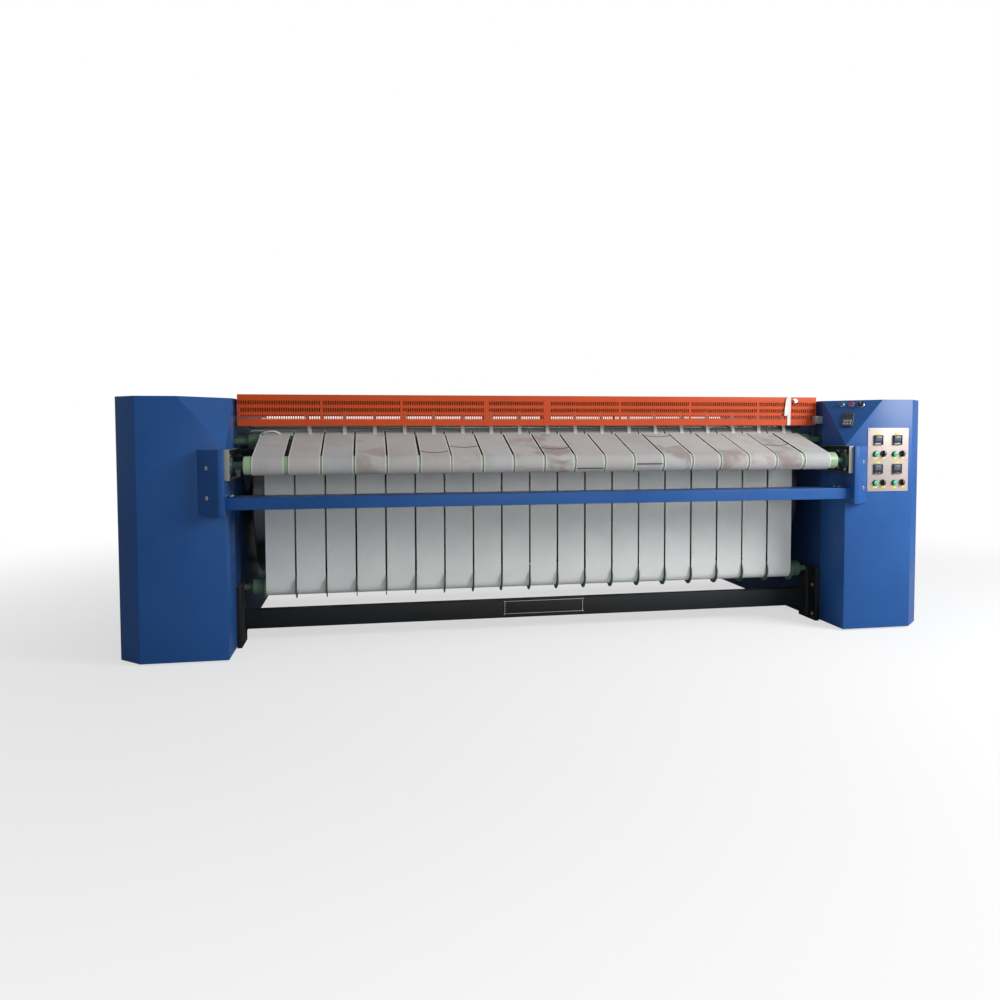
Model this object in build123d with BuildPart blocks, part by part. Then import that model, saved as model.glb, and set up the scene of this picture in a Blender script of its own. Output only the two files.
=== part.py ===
from build123d import *
import os
from math import acos, atan2, ceil, cos, degrees, hypot, radians, sin

# A belt-fed flatwork ironer. Linen laid on the feed table rides up to the entry roller, where the
# ironing belts take it down the front of the heated drum, round under it and out over the back.
# X runs along the drum, Y from front to back and Z up from the floor, in millimetres.

# ---------------------------------------------------------------- driving dimensions
LENGTH = 4360
DEPTH = 1745
BAY_WIDTH = 3308
CABINET_HEIGHT = 1302
FLOOR_GAP = 8
SHEET = 2
REVEAL = 0.5
RUNNING_FIT = 0.05

CHAMFER_WIDTH = 115
CHAMFER_DEPTH = 107
FACET_WIDTH = 222
FACET_DEPTH = 244
FACET_HEIGHT = 254
FRONT_COVER_DEPTH = 246

ARM_PROUD = 95
ARM_BOTTOM = 725
ARM_TOP = 1042
ARM_INSET = 4
ARM_FLAT = 25
ARM_WIDTH = 137

BELT_COUNT = 19
BELT_WIDTH = 150
BELT_GAP = 10
BELT_THICK = 3
BELT_CLEARANCE = 0.5

ROLLER_RADIUS = 45
ROLLER_WALL = 4
ROLLER_LENGTH = 3170
SHAFT_RADIUS = 18
TABLE_RADIUS = 32
DISC_RADIUS = 79
DISC_THICK = 4

DRUM_RADIUS = 450
DRUM_WALL = 12
JOURNAL_RADIUS = 50

# Axes as distances behind the cabinets' front and heights above the floor.
FEED_BACK = -26
FEED_HEIGHT = 965
TABLE_BACK = 295
TABLE_HEIGHT = 1078
ENTRY_BACK = 386
ENTRY_HEIGHT = 1090
LOWER_HEIGHT = 296
DRUM_BACK = 850
DRUM_HEIGHT = 760
EXIT_BACK = 1345
EXIT_HEIGHT = 900

# Belts are drawn with flats of this many degrees, small and hidden round forms with this many sides.
DRUM_CHORD = 18
ROLLER_CHORD = 40
DISC_SIDES = 12
CAP_SIDES = 24
BORE_SIDES = 6

FRAME_GAP = 6
FRAME_PLATE = 12
FRAME_FOOT = 70
FOOT_HEIGHT = 30
FOOT_RADIUS = 30

POST_FRONT = 250
POST_BACK = 440
POST_HEIGHT = 322
POST_WIDTH = 24
POST_WEB = 10
POST_FOOT = 12

BEAM_DEPTH = 60
BEAM_HEIGHT = 100
BEAM_BOTTOM = 72
BEAM_BACK = 370
BEAM_WALL = 4
REAR_BEAM_BACK = 1500

RAIL_FRONT = -55
RAIL_DEPTH = 155
RAIL_BOTTOM = 751
RAIL_HEIGHT = 60
RAIL_SHEET = 3

BRACKET_PLATE = 6
BRACKET_FRONT = -78
BRACKET_BOTTOM = 894
BRACKET_TOP = 1044
BRACKET_LIP = 20

GUARD_FRONT = 292
GUARD_DEPTH = 110
GUARD_BOTTOM = 1160
GUARD_TOP = 1325
GUARD_LENGTH = 3280
GUARD_WINDOWS = 6
GUARD_ROWS = 3
WINDOW_HEIGHT = 22
ROW_PITCH = 38
ROW_MIDDLE = 1244
WINDOW_BRIDGE = 30
PIVOT_DROP = 35
PIVOT_RADIUS = 6

TAPE_WIDTH = 20
TAPE_THICK = 1.5
TAPE_SHIFT = 25
ROD_RADIUS = 6
ROD_BACK = 380
ROD_HEIGHT = 1150
BAR_SIDE = 16
BAR_HEIGHT = 1230

PANEL_LEFT = 1787
PANEL_WIDTH = 254
PANEL_BOTTOM = 786
PANEL_HEIGHT = 357
PANEL_THICK = 3
DISPLAY_SIDE = 55
DISPLAY_PROUD = 9
BUTTON_RADIUS = 12
BUTTON_PROUD = 14
BUTTON_TRAVEL = 4
BEZEL_RADIUS = 16
BEZEL_PROUD = 9
KNOB_RADIUS = 18
KNOB_HEIGHT = 8
KNOB_GRIP = 12
GRIP_WIDTH = 11
GRIP_LENGTH = 32
ZONE_PITCH = 119
ZONE_ROW = 163
BOLT_RADIUS = 7
BOLT_HEAD = 6

# ---------------------------------------------------------------- derived places
FACE_Y = ARM_PROUD - DEPTH / 2
BACK_Y = DEPTH / 2
INNER_X = BAY_WIDTH / 2
OUTER_X = LENGTH / 2
ARM_X = INNER_X - ARM_INSET
FRAME_X = INNER_X + SHEET + FRAME_GAP
BELT_PITCH = BELT_WIDTH + BELT_GAP
BELT_STARTS = [(i - BELT_COUNT / 2) * BELT_PITCH + BELT_GAP / 2 for i in range(BELT_COUNT)]
GAP_MIDDLES = [(i - BELT_COUNT / 2) * BELT_PITCH for i in range(BELT_COUNT + 1)]


def spot(back, height):
    """A point of the side view, from its distance behind the front and its height."""
    return (FACE_Y + back, height)


FEED = spot(FEED_BACK, FEED_HEIGHT)
TABLE = spot(TABLE_BACK, TABLE_HEIGHT)
ENTRY = spot(ENTRY_BACK, ENTRY_HEIGHT)
LOWER = spot(ENTRY_BACK, LOWER_HEIGHT)
DRUM = spot(DRUM_BACK, DRUM_HEIGHT)
EXIT = spot(EXIT_BACK, EXIT_HEIGHT)
RETURN = spot(EXIT_BACK, LOWER_HEIGHT)

os.makedirs("parts", exist_ok=True)


def save(builder, node):
    """Label a finished piece and write it under its node's name."""
    builder.part.label = node
    export_step(builder.part, f"parts/{node}.step")


def save_pair(builder, node):
    """Write a right-hand piece and its mirror image on the left."""
    save(builder, f"right_{node}")
    with BuildPart() as left:
        mirror(builder.part, about=Plane.YZ)
    save(left, f"left_{node}")


# ---------------------------------------------------------------- cabinets
# The inner top corner of each cabinet's front is cut by a sloping facet.
FACET_TOP = Vector(INNER_X + FACET_WIDTH, FACE_Y, CABINET_HEIGHT)
FACET_LOW = Vector(INNER_X, FACE_Y, CABINET_HEIGHT - FACET_HEIGHT)
FACET_REAR = Vector(INNER_X, FACE_Y + FACET_DEPTH, CABINET_HEIGHT)
FACET_NORMAL = (FACET_TOP - FACET_LOW).cross(FACET_REAR - FACET_LOW).normalized()
FACET = Plane(FACET_REAR, x_dir=FACET_TOP - FACET_REAR, z_dir=FACET_NORMAL)
COVER_END = FACE_Y + FRONT_COVER_DEPTH

with BuildPart() as cabinet_shell:
    with BuildSketch(Plane.XY.offset(FLOOR_GAP)):
        with BuildLine():
            Polyline(
                (INNER_X, FACE_Y),
                (OUTER_X - CHAMFER_WIDTH, FACE_Y),
                (OUTER_X, FACE_Y + CHAMFER_DEPTH),
                (OUTER_X, BACK_Y),
                (INNER_X, BACK_Y),
                close=True,
            )
        make_face()
    extrude(amount=CABINET_HEIGHT - FLOOR_GAP)
    split(bisect_by=FACET, keep=Keep.BOTTOM)
    offset(amount=-SHEET, openings=cabinet_shell.faces().sort_by(Axis.Z)[0])


def shell_piece(low, high):
    """The part of the cabinet's sheet shell that lies between two corners."""
    size = [b - a for a, b in zip(low, high)]
    with BuildPart() as piece:
        add(cabinet_shell.part)
        with Locations(low):
            Box(*size, align=(Align.MIN, Align.MIN, Align.MIN), mode=Mode.INTERSECT)
    return piece


BEHIND_COVER = COVER_END + REVEAL
UNDER_TOP = CABINET_HEIGHT - SHEET
FRONT_COVER = shell_piece((INNER_X, FACE_Y, 0), (OUTER_X, COVER_END, CABINET_HEIGHT))
TOP_COVER = shell_piece((INNER_X, BEHIND_COVER, UNDER_TOP), (OUTER_X, BACK_Y, CABINET_HEIGHT))

with BuildPart() as front_cover:
    add(FRONT_COVER.part)
save_pair(front_cover, "front_cover")

with BuildPart() as top_cover:
    add(TOP_COVER.part)
save_pair(top_cover, "top_cover")

WALL_TOP = UNDER_TOP - REVEAL
SHAFT_HOLE = SHAFT_RADIUS + 6
JOURNAL_HOLE = JOURNAL_RADIUS + 10
HOLE_SIDES = 8
WALL_SHAFTS = [TABLE, ENTRY, EXIT, RETURN]

with BuildPart() as inner_wall:
    add(shell_piece((INNER_X, BEHIND_COVER, 0), (INNER_X + SHEET, BACK_Y, WALL_TOP)).part)
    with BuildSketch(Plane.YZ.offset(INNER_X)):
        with Locations(*WALL_SHAFTS):
            RegularPolygon(SHAFT_HOLE, HOLE_SIDES, major_radius=False)
        with Locations(DRUM):
            RegularPolygon(JOURNAL_HOLE, HOLE_SIDES, major_radius=False)
    extrude(amount=SHEET, mode=Mode.SUBTRACT)
save_pair(inner_wall, "inner_wall")

PANEL_FRONT = BEHIND_COVER
PANEL_BACK = BACK_Y - SHEET - REVEAL
PANEL_MIDDLE = (PANEL_FRONT + PANEL_BACK) / 2
LOUVRE_LENGTH = 260
LOUVRE_HEIGHT = 8
LOUVRE_PITCH = 30
LOUVRE_ROWS = 4
LOUVRE_LEVEL = 320

with BuildPart() as side_panels:
    add(shell_piece((OUTER_X - SHEET, PANEL_FRONT, 0), (OUTER_X, PANEL_MIDDLE - REVEAL, WALL_TOP)).part)
    add(shell_piece((OUTER_X - SHEET, PANEL_MIDDLE + REVEAL, 0), (OUTER_X, PANEL_BACK, WALL_TOP)).part)
    with BuildSketch(Plane.YZ.offset(OUTER_X - SHEET)):
        with Locations((PANEL_MIDDLE, LOUVRE_LEVEL)):
            with GridLocations((PANEL_BACK - PANEL_FRONT) / 2, LOUVRE_PITCH, 2, LOUVRE_ROWS):
                Rectangle(LOUVRE_LENGTH, LOUVRE_HEIGHT)
    extrude(amount=SHEET, mode=Mode.SUBTRACT)
save_pair(side_panels, "side_panels")

with BuildPart() as rear_cover:
    add(
        shell_piece(
            (INNER_X + SHEET + REVEAL, BACK_Y - SHEET, 0),
            (OUTER_X, BACK_Y, WALL_TOP),
        ).part
    )
save_pair(rear_cover, "rear_cover")

# ---------------------------------------------------------------- side frames inside the cabinets
FRAME_FRONT = FACE_Y + 60
FRAME_BACK = BACK_Y - 60
FRAME_TOP = 1190
FRAME_NOSE = 800
FRAME_SLOPE = 170
FRAME_WINDOWS = [
    (spot(330, 430), 300, 560),
    (spot(800, 290), 420, 300),
    (spot(1250, 590), 300, 360),
]
WINDOW_CORNER = 40

with BuildPart() as side_frame:
    with BuildSketch(Plane.YZ.offset(FRAME_X)):
        with BuildLine():
            Polyline(
                (FRAME_FRONT, FOOT_HEIGHT),
                (FRAME_FRONT, FRAME_NOSE),
                (FRAME_FRONT + FRAME_SLOPE, FRAME_TOP),
                (FRAME_BACK - FRAME_SLOPE, FRAME_TOP),
                (FRAME_BACK, FRAME_NOSE),
                (FRAME_BACK, FOOT_HEIGHT),
                close=True,
            )
        make_face()
        for middle, width, height in FRAME_WINDOWS:
            with BuildSketch(mode=Mode.SUBTRACT):
                with Locations(middle):
                    window = Rectangle(width, height)
                chamfer(window.vertices(), WINDOW_CORNER)
        with Locations(*WALL_SHAFTS):
            RegularPolygon(SHAFT_HOLE, HOLE_SIDES, major_radius=False, mode=Mode.SUBTRACT)
        with Locations(DRUM):
            RegularPolygon(JOURNAL_HOLE, HOLE_SIDES, major_radius=False, mode=Mode.SUBTRACT)
    extrude(amount=FRAME_PLATE)
    with BuildSketch(Plane.XY.offset(FOOT_HEIGHT)):
        with Locations((FRAME_X, FRAME_FRONT)):
            Rectangle(FRAME_FOOT, FRAME_BACK - FRAME_FRONT, align=(Align.MIN, Align.MIN))
    extrude(amount=FRAME_PLATE)
save_pair(side_frame, "side_frame")

FOOT_X = FRAME_X + FRAME_PLATE + (FRAME_FOOT - FRAME_PLATE) / 2
FOOT_YS = [FRAME_FRONT + 80, FRAME_BACK - 80]
FOOT_PAD = 12
FOOT_STEM = 10

FOOT_SPOTS = [(side * FOOT_X, y) for side in (-1, 1) for y in FOOT_YS]

with BuildPart() as levelling_feet:
    with BuildSketch():
        with Locations(*FOOT_SPOTS):
            RegularPolygon(FOOT_RADIUS, DISC_SIDES)
    extrude(amount=FOOT_PAD)
    with BuildSketch(Plane.XY.offset(FOOT_PAD)):
        with Locations(*FOOT_SPOTS):
            RegularPolygon(FOOT_STEM, 6)
    extrude(amount=FOOT_HEIGHT - FOOT_PAD)
save(levelling_feet, "levelling_feet")

# ---------------------------------------------------------------- arm covers on the cabinet fronts
with BuildPart() as arm_cover:
    with BuildSketch(Plane.XY.offset(ARM_BOTTOM)):
        with BuildLine():
            Polyline(
                (ARM_X, FACE_Y),
                (ARM_X, FACE_Y - ARM_PROUD),
                (ARM_X + ARM_FLAT, FACE_Y - ARM_PROUD),
                (ARM_X + ARM_WIDTH, FACE_Y),
                close=True,
            )
        make_face()
    extrude(amount=ARM_TOP - ARM_BOTTOM)
    offset(amount=-SHEET, openings=arm_cover.faces().sort_by(Axis.Y)[-1])
save_pair(arm_cover, "arm_cover")

# ---------------------------------------------------------------- rail, beams and posts
with BuildPart() as front_rail:
    with BuildSketch(Plane.YZ.offset(-ARM_X)):
        with Locations(spot(RAIL_FRONT, RAIL_BOTTOM)):
            Rectangle(RAIL_DEPTH, RAIL_HEIGHT, align=(Align.MIN, Align.MIN))
        with Locations(spot(RAIL_FRONT + RAIL_SHEET, RAIL_BOTTOM + RAIL_SHEET)):
            Rectangle(
                RAIL_DEPTH,
                RAIL_HEIGHT - 2 * RAIL_SHEET,
                align=(Align.MIN, Align.MIN),
                mode=Mode.SUBTRACT,
            )
    extrude(amount=2 * ARM_X)
    fillet(front_rail.edges().filter_by(Axis.X).group_by(Axis.Y)[0], RAIL_SHEET * 0.9)
save(front_rail, "front_rail")

POST_X = INNER_X - POST_WIDTH


def box_beam(back, half_length):
    """A square-cornered hollow beam from wall to wall."""
    with BuildPart() as beam:
        with BuildSketch(Plane.YZ.offset(-half_length)):
            with Locations(spot(back, BEAM_BOTTOM)):
                Rectangle(BEAM_DEPTH, BEAM_HEIGHT, align=(Align.MIN, Align.MIN))
            with Locations(spot(back + BEAM_WALL, BEAM_BOTTOM + BEAM_WALL)):
                Rectangle(
                    BEAM_DEPTH - 2 * BEAM_WALL,
                    BEAM_HEIGHT - 2 * BEAM_WALL,
                    align=(Align.MIN, Align.MIN),
                    mode=Mode.SUBTRACT,
                )
        extrude(amount=2 * half_length)
    return beam


save(box_beam(BEAM_BACK, POST_X), "front_beam")
save(box_beam(REAR_BEAM_BACK, INNER_X), "rear_beam")

with BuildPart() as post:
    with BuildSketch(Plane.YZ.offset(POST_X)):
        with BuildLine():
            Polyline(
                spot(POST_FRONT, 0),
                spot(POST_FRONT, POST_HEIGHT),
                spot(POST_BACK, POST_HEIGHT),
                spot(POST_BACK, 0),
                close=True,
            )
        make_face()
    extrude(amount=POST_WIDTH)
    with BuildSketch(Plane.YZ.offset(POST_X)):
        with Locations(spot(POST_FRONT + POST_WEB, POST_FOOT)):
            Rectangle(
                (BEAM_BACK - POST_FRONT) - 2 * POST_WEB,
                POST_HEIGHT - POST_FOOT - POST_WEB,
                align=(Align.MIN, Align.MIN),
            )
    extrude(amount=POST_WIDTH - POST_WEB, mode=Mode.SUBTRACT)
    with BuildSketch(Plane.YZ.offset(POST_X)):
        with Locations(LOWER):
            Circle(SHAFT_RADIUS + RUNNING_FIT)
    extrude(amount=POST_WIDTH, mode=Mode.SUBTRACT)
save_pair(post, "post")

# ---------------------------------------------------------------- front roller brackets and bearings
BRACKET_OUTLINE = [
    spot(BRACKET_FRONT, BRACKET_BOTTOM),
    spot(BRACKET_FRONT, BRACKET_TOP),
    spot(190, BRACKET_TOP),
    spot(267, 960),
    spot(267, BRACKET_BOTTOM),
]
BRACKET_X = ARM_X - BRACKET_PLATE - BRACKET_LIP

with BuildPart() as roller_bracket:
    with BuildSketch(Plane.YZ.offset(BRACKET_X)):
        with BuildLine():
            Polyline(*BRACKET_OUTLINE, close=True)
        make_face()
    extrude(amount=BRACKET_PLATE + BRACKET_LIP)
    offset(amount=-BRACKET_PLATE, openings=roller_bracket.faces().sort_by(Axis.X)[0])
    with BuildSketch(Plane.YZ.offset(ARM_X)):
        with Locations(FEED):
            RegularPolygon(SHAFT_HOLE, HOLE_SIDES, major_radius=False)
    extrude(amount=-BRACKET_PLATE, mode=Mode.SUBTRACT)
save_pair(roller_bracket, "roller_bracket")

BEARING_PITCH = 45
BEARING_EAR = 14
BEARING_BODY = 32
BEARING_STEP = 6
BEARING_FLANGE = 10
BEARING_DEPTH = 18


def flange_bearing(x, axis, turned):
    """A rhombus flange with two bolts, its face at x and its body towards the machine's middle."""
    with BuildSketch(Plane.YZ.offset(x)) as flange:
        with Locations(axis):
            Circle(BEARING_BODY)
            with PolarLocations(BEARING_PITCH, 2, start_angle=turned):
                Circle(BEARING_EAR)
        make_hull()
        with Locations(axis):
            Circle(SHAFT_RADIUS + RUNNING_FIT, mode=Mode.SUBTRACT)
    extrude(flange.sketch, amount=-BEARING_FLANGE)
    with BuildSketch(Plane.YZ.offset(x - BEARING_FLANGE)) as body:
        with Locations(axis):
            RegularPolygon(BEARING_BODY - BEARING_STEP, CAP_SIDES)
            Circle(SHAFT_RADIUS + RUNNING_FIT, mode=Mode.SUBTRACT)
    extrude(body.sketch, amount=BEARING_FLANGE - BEARING_DEPTH)


with BuildPart() as feed_bearings:
    flange_bearing(ARM_X - BRACKET_PLATE, FEED, 90)
    mirror(about=Plane.YZ)
save(feed_bearings, "feed_roller_bearings")

FRAME_OUTER = FRAME_X + FRAME_PLATE
BLOCK_SIDE = 84
BLOCK_DEPTH = 24
DRUM_BLOCK_SIDE = 190
DRUM_BLOCK_DEPTH = 60


def bearing_blocks(axes, side, depth, bore):
    """Square bearing blocks on the outer face of both side frames."""
    with BuildPart() as blocks:
        with BuildSketch(Plane.YZ.offset(FRAME_OUTER)):
            with Locations(*axes):
                Rectangle(side, side)
                RegularPolygon(
                    bore + RUNNING_FIT, DISC_SIDES, major_radius=False, mode=Mode.SUBTRACT
                )
        extrude(amount=depth)
        mirror(about=Plane.YZ)
    return blocks


save(bearing_blocks(WALL_SHAFTS, BLOCK_SIDE, BLOCK_DEPTH, SHAFT_RADIUS), "shaft_bearings")
save(bearing_blocks([DRUM], DRUM_BLOCK_SIDE, DRUM_BLOCK_DEPTH, JOURNAL_RADIUS), "drum_bearings")

# ---------------------------------------------------------------- drum and rollers
DRUM_END = ROLLER_LENGTH / 2
HEAD_THICK = 16


def along_axis(axis):
    """The plane through a roller's axis, its X along the roller and its Y upwards."""
    return Plane(origin=(0, *axis), x_dir=(1, 0, 0), z_dir=(0, -1, 0))


def hollow_roller(axis, radius, wall, head, shaft, shaft_end):
    """A tube closed by two heads, which carry its shaft ends."""
    half = ROLLER_LENGTH / 2
    with BuildSketch(along_axis(axis)) as profile:
        with BuildLine():
            Polyline(
                (-shaft_end, 0),
                (-shaft_end, shaft),
                (-half, shaft),
                (-half, radius),
                (half, radius),
                (half, shaft),
                (shaft_end, shaft),
                (shaft_end, 0),
                close=True,
            )
        make_face()
    revolve(profile.sketch, axis=Axis((0, *axis), (1, 0, 0)))
    with BuildSketch(Plane.YZ.offset(head - half)) as cavity:
        with Locations(axis):
            RegularPolygon(radius - wall, CAP_SIDES)
    extrude(cavity.sketch, amount=2 * (half - head), mode=Mode.SUBTRACT)


def belt_roller(axis, radius, shaft_end):
    """A roller that carries belts."""
    hollow_roller(axis, radius, ROLLER_WALL, HEAD_THICK, SHAFT_RADIUS, shaft_end)


with BuildPart() as drum:
    drum_end = FRAME_OUTER + DRUM_BLOCK_DEPTH
    hollow_roller(DRUM, DRUM_RADIUS, DRUM_WALL, HEAD_THICK, JOURNAL_RADIUS, drum_end)
save(drum, "drum")

BLOCK_END = FRAME_OUTER + BLOCK_DEPTH
ROLLERS = {
    "feed_roller": (FEED, ROLLER_RADIUS, ARM_X - 1),
    "table_roller": (TABLE, TABLE_RADIUS, BLOCK_END),
    "entry_roller": (ENTRY, ROLLER_RADIUS, BLOCK_END),
    "exit_roller": (EXIT, ROLLER_RADIUS, BLOCK_END),
    "return_roller": (RETURN, ROLLER_RADIUS, BLOCK_END),
}
for node, (axis, radius, shaft_end) in ROLLERS.items():
    with BuildPart() as carrier:
        belt_roller(axis, radius, shaft_end)
    save(carrier, node)

# Discs pressed on the lower roller part the belts.
with BuildPart() as lower_roller:
    belt_roller(LOWER, ROLLER_RADIUS, INNER_X - 1)
    with BuildSketch(*[Plane.YZ.offset(x - DISC_THICK / 2) for x in GAP_MIDDLES]):
        with Locations(LOWER):
            RegularPolygon(DISC_RADIUS, DISC_SIDES)
            RegularPolygon(
                ROLLER_RADIUS + RUNNING_FIT, BORE_SIDES, major_radius=False, mode=Mode.SUBTRACT
            )
    extrude(amount=DISC_THICK)
save(lower_roller, "lower_roller")

# ---------------------------------------------------------------- belts
# A wheel is its axis, its radius and the way the belt turns round it: 1 where the wheel lies
# inside the belt's loop, -1 where it presses on the belt from outside.
FEED_LOOP = [(FEED, ROLLER_RADIUS, 1), (TABLE, TABLE_RADIUS, 1)]
IRONING_LOOP = [
    (LOWER, ROLLER_RADIUS, 1),
    (ENTRY, ROLLER_RADIUS, 1),
    (DRUM, DRUM_RADIUS, -1),
    (EXIT, ROLLER_RADIUS, 1),
    (RETURN, ROLLER_RADIUS, 1),
]


def leaving_and_meeting(first, second, lift):
    """The angles at which a belt leaves one wheel and meets the next, in degrees."""
    (axis_a, radius_a, turn_a), (axis_b, radius_b, turn_b) = first, second
    across = axis_b[0] - axis_a[0]
    up = axis_b[1] - axis_a[1]
    signed = turn_a * (radius_a + lift[turn_a]) - turn_b * (radius_b + lift[turn_b])
    leave = degrees(atan2(up, across) + turn_a * acos(turn_a * signed / hypot(across, up)))
    return leave, leave if turn_a == turn_b else leave + 180


def rim(axis, radius, angle):
    """A point at an angle and a radius about an axis of the side view."""
    return (axis[0] + radius * cos(radians(angle)), axis[1] + radius * sin(radians(angle)))


def belt_side(wheels, lift):
    """One face of an endless belt: flats that touch each wheel, and straight runs between."""
    spans = [leaving_and_meeting(a, b, lift) for a, b in zip(wheels, wheels[1:] + wheels[:1])]
    corners = []
    for index, (axis, radius, turn) in enumerate(wheels):
        meet = spans[index - 1][1]
        wrap = (meet - spans[index][0]) * turn % 360
        flats = ceil(wrap / (ROLLER_CHORD if turn == 1 else DRUM_CHORD))
        step = wrap / flats
        reach = (radius + lift[turn]) / cos(radians(step / 2))
        corners += [rim(axis, reach, meet - turn * step * (k + 0.5)) for k in range(flats)]
    Polyline(*corners, close=True)


def belts(wheels):
    """The row of endless belts that runs round a set of wheels."""
    near = BELT_CLEARANCE
    far = BELT_CLEARANCE + BELT_THICK
    with BuildPart() as row:
        with BuildSketch(*[Plane.YZ.offset(x) for x in BELT_STARTS]):
            with BuildLine():
                belt_side(wheels, {1: far, -1: near})
            make_face()
            with BuildLine():
                belt_side(wheels, {1: near, -1: far})
            make_face(mode=Mode.SUBTRACT)
        extrude(amount=BELT_WIDTH)
    return row


save(belts(FEED_LOOP), "feed_belts")
save(belts(IRONING_LOOP), "ironing_belts")

# The table bed holds the feed belts' upper run flat; two ties carry it on the roller brackets.
BED_MARGIN = 3
BED_HALF = BELT_STARTS[-1] + BELT_WIDTH - BED_MARGIN
BED_DROP = 4
BED_LIP = 25
BED_SHEET = 3
BED_END = 60
BED_TIES = (BED_END, 160)
BED_SLOPE = Plane(
    origin=(0, *FEED),
    x_dir=(0, TABLE[0] - FEED[0], TABLE[1] - FEED[1]),
    z_dir=(1, 0, 0),
)
BED_TOP = TABLE_RADIUS - BED_DROP
BED_SPAN = hypot(TABLE[0] - FEED[0], TABLE[1] - FEED[1])

with BuildPart() as table_bed:
    with BuildSketch(BED_SLOPE.offset(-BED_HALF)):
        with BuildLine():
            Polyline(
                (BED_END, BED_TOP - BED_LIP),
                (BED_END, BED_TOP),
                (BED_SPAN - BED_END, BED_TOP),
                (BED_SPAN - BED_END, BED_TOP - BED_LIP),
                (BED_SPAN - BED_END - BED_SHEET, BED_TOP - BED_LIP),
                (BED_SPAN - BED_END - BED_SHEET, BED_TOP - BED_SHEET),
                (BED_END + BED_SHEET, BED_TOP - BED_SHEET),
                (BED_END + BED_SHEET, BED_TOP - BED_LIP),
                close=True,
            )
        make_face()
    extrude(amount=2 * BED_HALF)
    with BuildSketch(BED_SLOPE.offset(-BRACKET_X)):
        for tie in BED_TIES:
            with Locations((tie, BED_TOP - BED_LIP)):
                Rectangle(BED_SHEET, BED_LIP - BED_SHEET / 2, align=(Align.MIN, Align.MIN))
    extrude(amount=2 * BRACKET_X)
save(table_bed, "table_bed")

# ---------------------------------------------------------------- hand guard
TAPE_MIDDLES = [x + BELT_WIDTH / 2 + TAPE_SHIFT for x in BELT_STARTS]
HOOK_SPOT = (TAPE_MIDDLES[-1] + 18, GUARD_TOP - 30)
HOOK_LENGTH = 14
HOOK_RADIUS = 4
GUARD_HEIGHT = GUARD_TOP - GUARD_BOTTOM
GUARD_X = GUARD_LENGTH / 2
GUARD_PITCH = (GUARD_LENGTH - WINDOW_BRIDGE) / GUARD_WINDOWS
PIVOT = spot(GUARD_FRONT + GUARD_DEPTH / 2, GUARD_TOP - PIVOT_DROP)
GUARD_FACE = Plane.XZ.offset(-(FACE_Y + GUARD_FRONT))
LOW_CORNER = (Align.MIN, Align.MIN)

with BuildPart() as hand_guard:
    with BuildSketch(Plane.YZ.offset(-GUARD_X)):
        with Locations(spot(GUARD_FRONT, GUARD_BOTTOM)):
            Rectangle(GUARD_DEPTH, GUARD_HEIGHT, align=LOW_CORNER)
        with Locations(spot(GUARD_FRONT + SHEET, GUARD_BOTTOM)):
            Rectangle(
                GUARD_DEPTH - 2 * SHEET, GUARD_HEIGHT - SHEET, align=LOW_CORNER, mode=Mode.SUBTRACT
            )
    extrude(amount=GUARD_LENGTH)
    with BuildSketch(GUARD_FACE):
        with Locations((0, ROW_MIDDLE)):
            with GridLocations(GUARD_PITCH, ROW_PITCH, GUARD_WINDOWS, GUARD_ROWS):
                Rectangle(GUARD_PITCH - WINDOW_BRIDGE, WINDOW_HEIGHT)
    extrude(amount=-GUARD_DEPTH, mode=Mode.SUBTRACT)
    with BuildSketch(Plane.YZ.offset(-GUARD_X), Plane.YZ.offset(GUARD_X - SHEET)):
        with Locations(spot(GUARD_FRONT, GUARD_TOP - 2 * PIVOT_DROP)):
            Rectangle(GUARD_DEPTH, 2 * PIVOT_DROP, align=LOW_CORNER)
        with Locations(PIVOT):
            Circle(PIVOT_RADIUS + RUNNING_FIT, mode=Mode.SUBTRACT)
    extrude(amount=SHEET)
    # The tape hook is a stud with a flat head.
    with BuildSketch(GUARD_FACE):
        with Locations(HOOK_SPOT):
            RegularPolygon(HOOK_RADIUS, 6)
    extrude(amount=HOOK_LENGTH)
    with BuildSketch(GUARD_FACE.offset(HOOK_LENGTH - HOOK_RADIUS)):
        with Locations(HOOK_SPOT):
            RegularPolygon(2 * HOOK_RADIUS, 6)
    extrude(amount=HOOK_RADIUS)
save(hand_guard, "hand_guard")

PIVOT_COLLAR = 14
PIVOT_SEAT = 4

with BuildPart() as guard_pivots:
    with BuildSketch(Plane.YZ.offset(GUARD_X - 2 * SHEET)):
        with Locations(PIVOT):
            Circle(PIVOT_RADIUS)
    extrude(amount=INNER_X - GUARD_X + 2 * SHEET)
    with BuildSketch(Plane.YZ.offset(INNER_X - PIVOT_SEAT)):
        with Locations(PIVOT):
            RegularPolygon(PIVOT_COLLAR, 6)
    extrude(amount=PIVOT_SEAT)
    mirror(about=Plane.YZ)
save(guard_pivots, "guard_pivots")

SWITCH_WIDTH = 38
SWITCH_DEPTH = 44
SWITCH_HEIGHT = 44
SWITCH_LEVEL = 1192
SWITCH_GAP = 8
PLUNGER_RADIUS = 4
PLUNGER_CLEARANCE = 0.3
SWITCH_BACK = GUARD_FRONT - SWITCH_GAP

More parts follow.
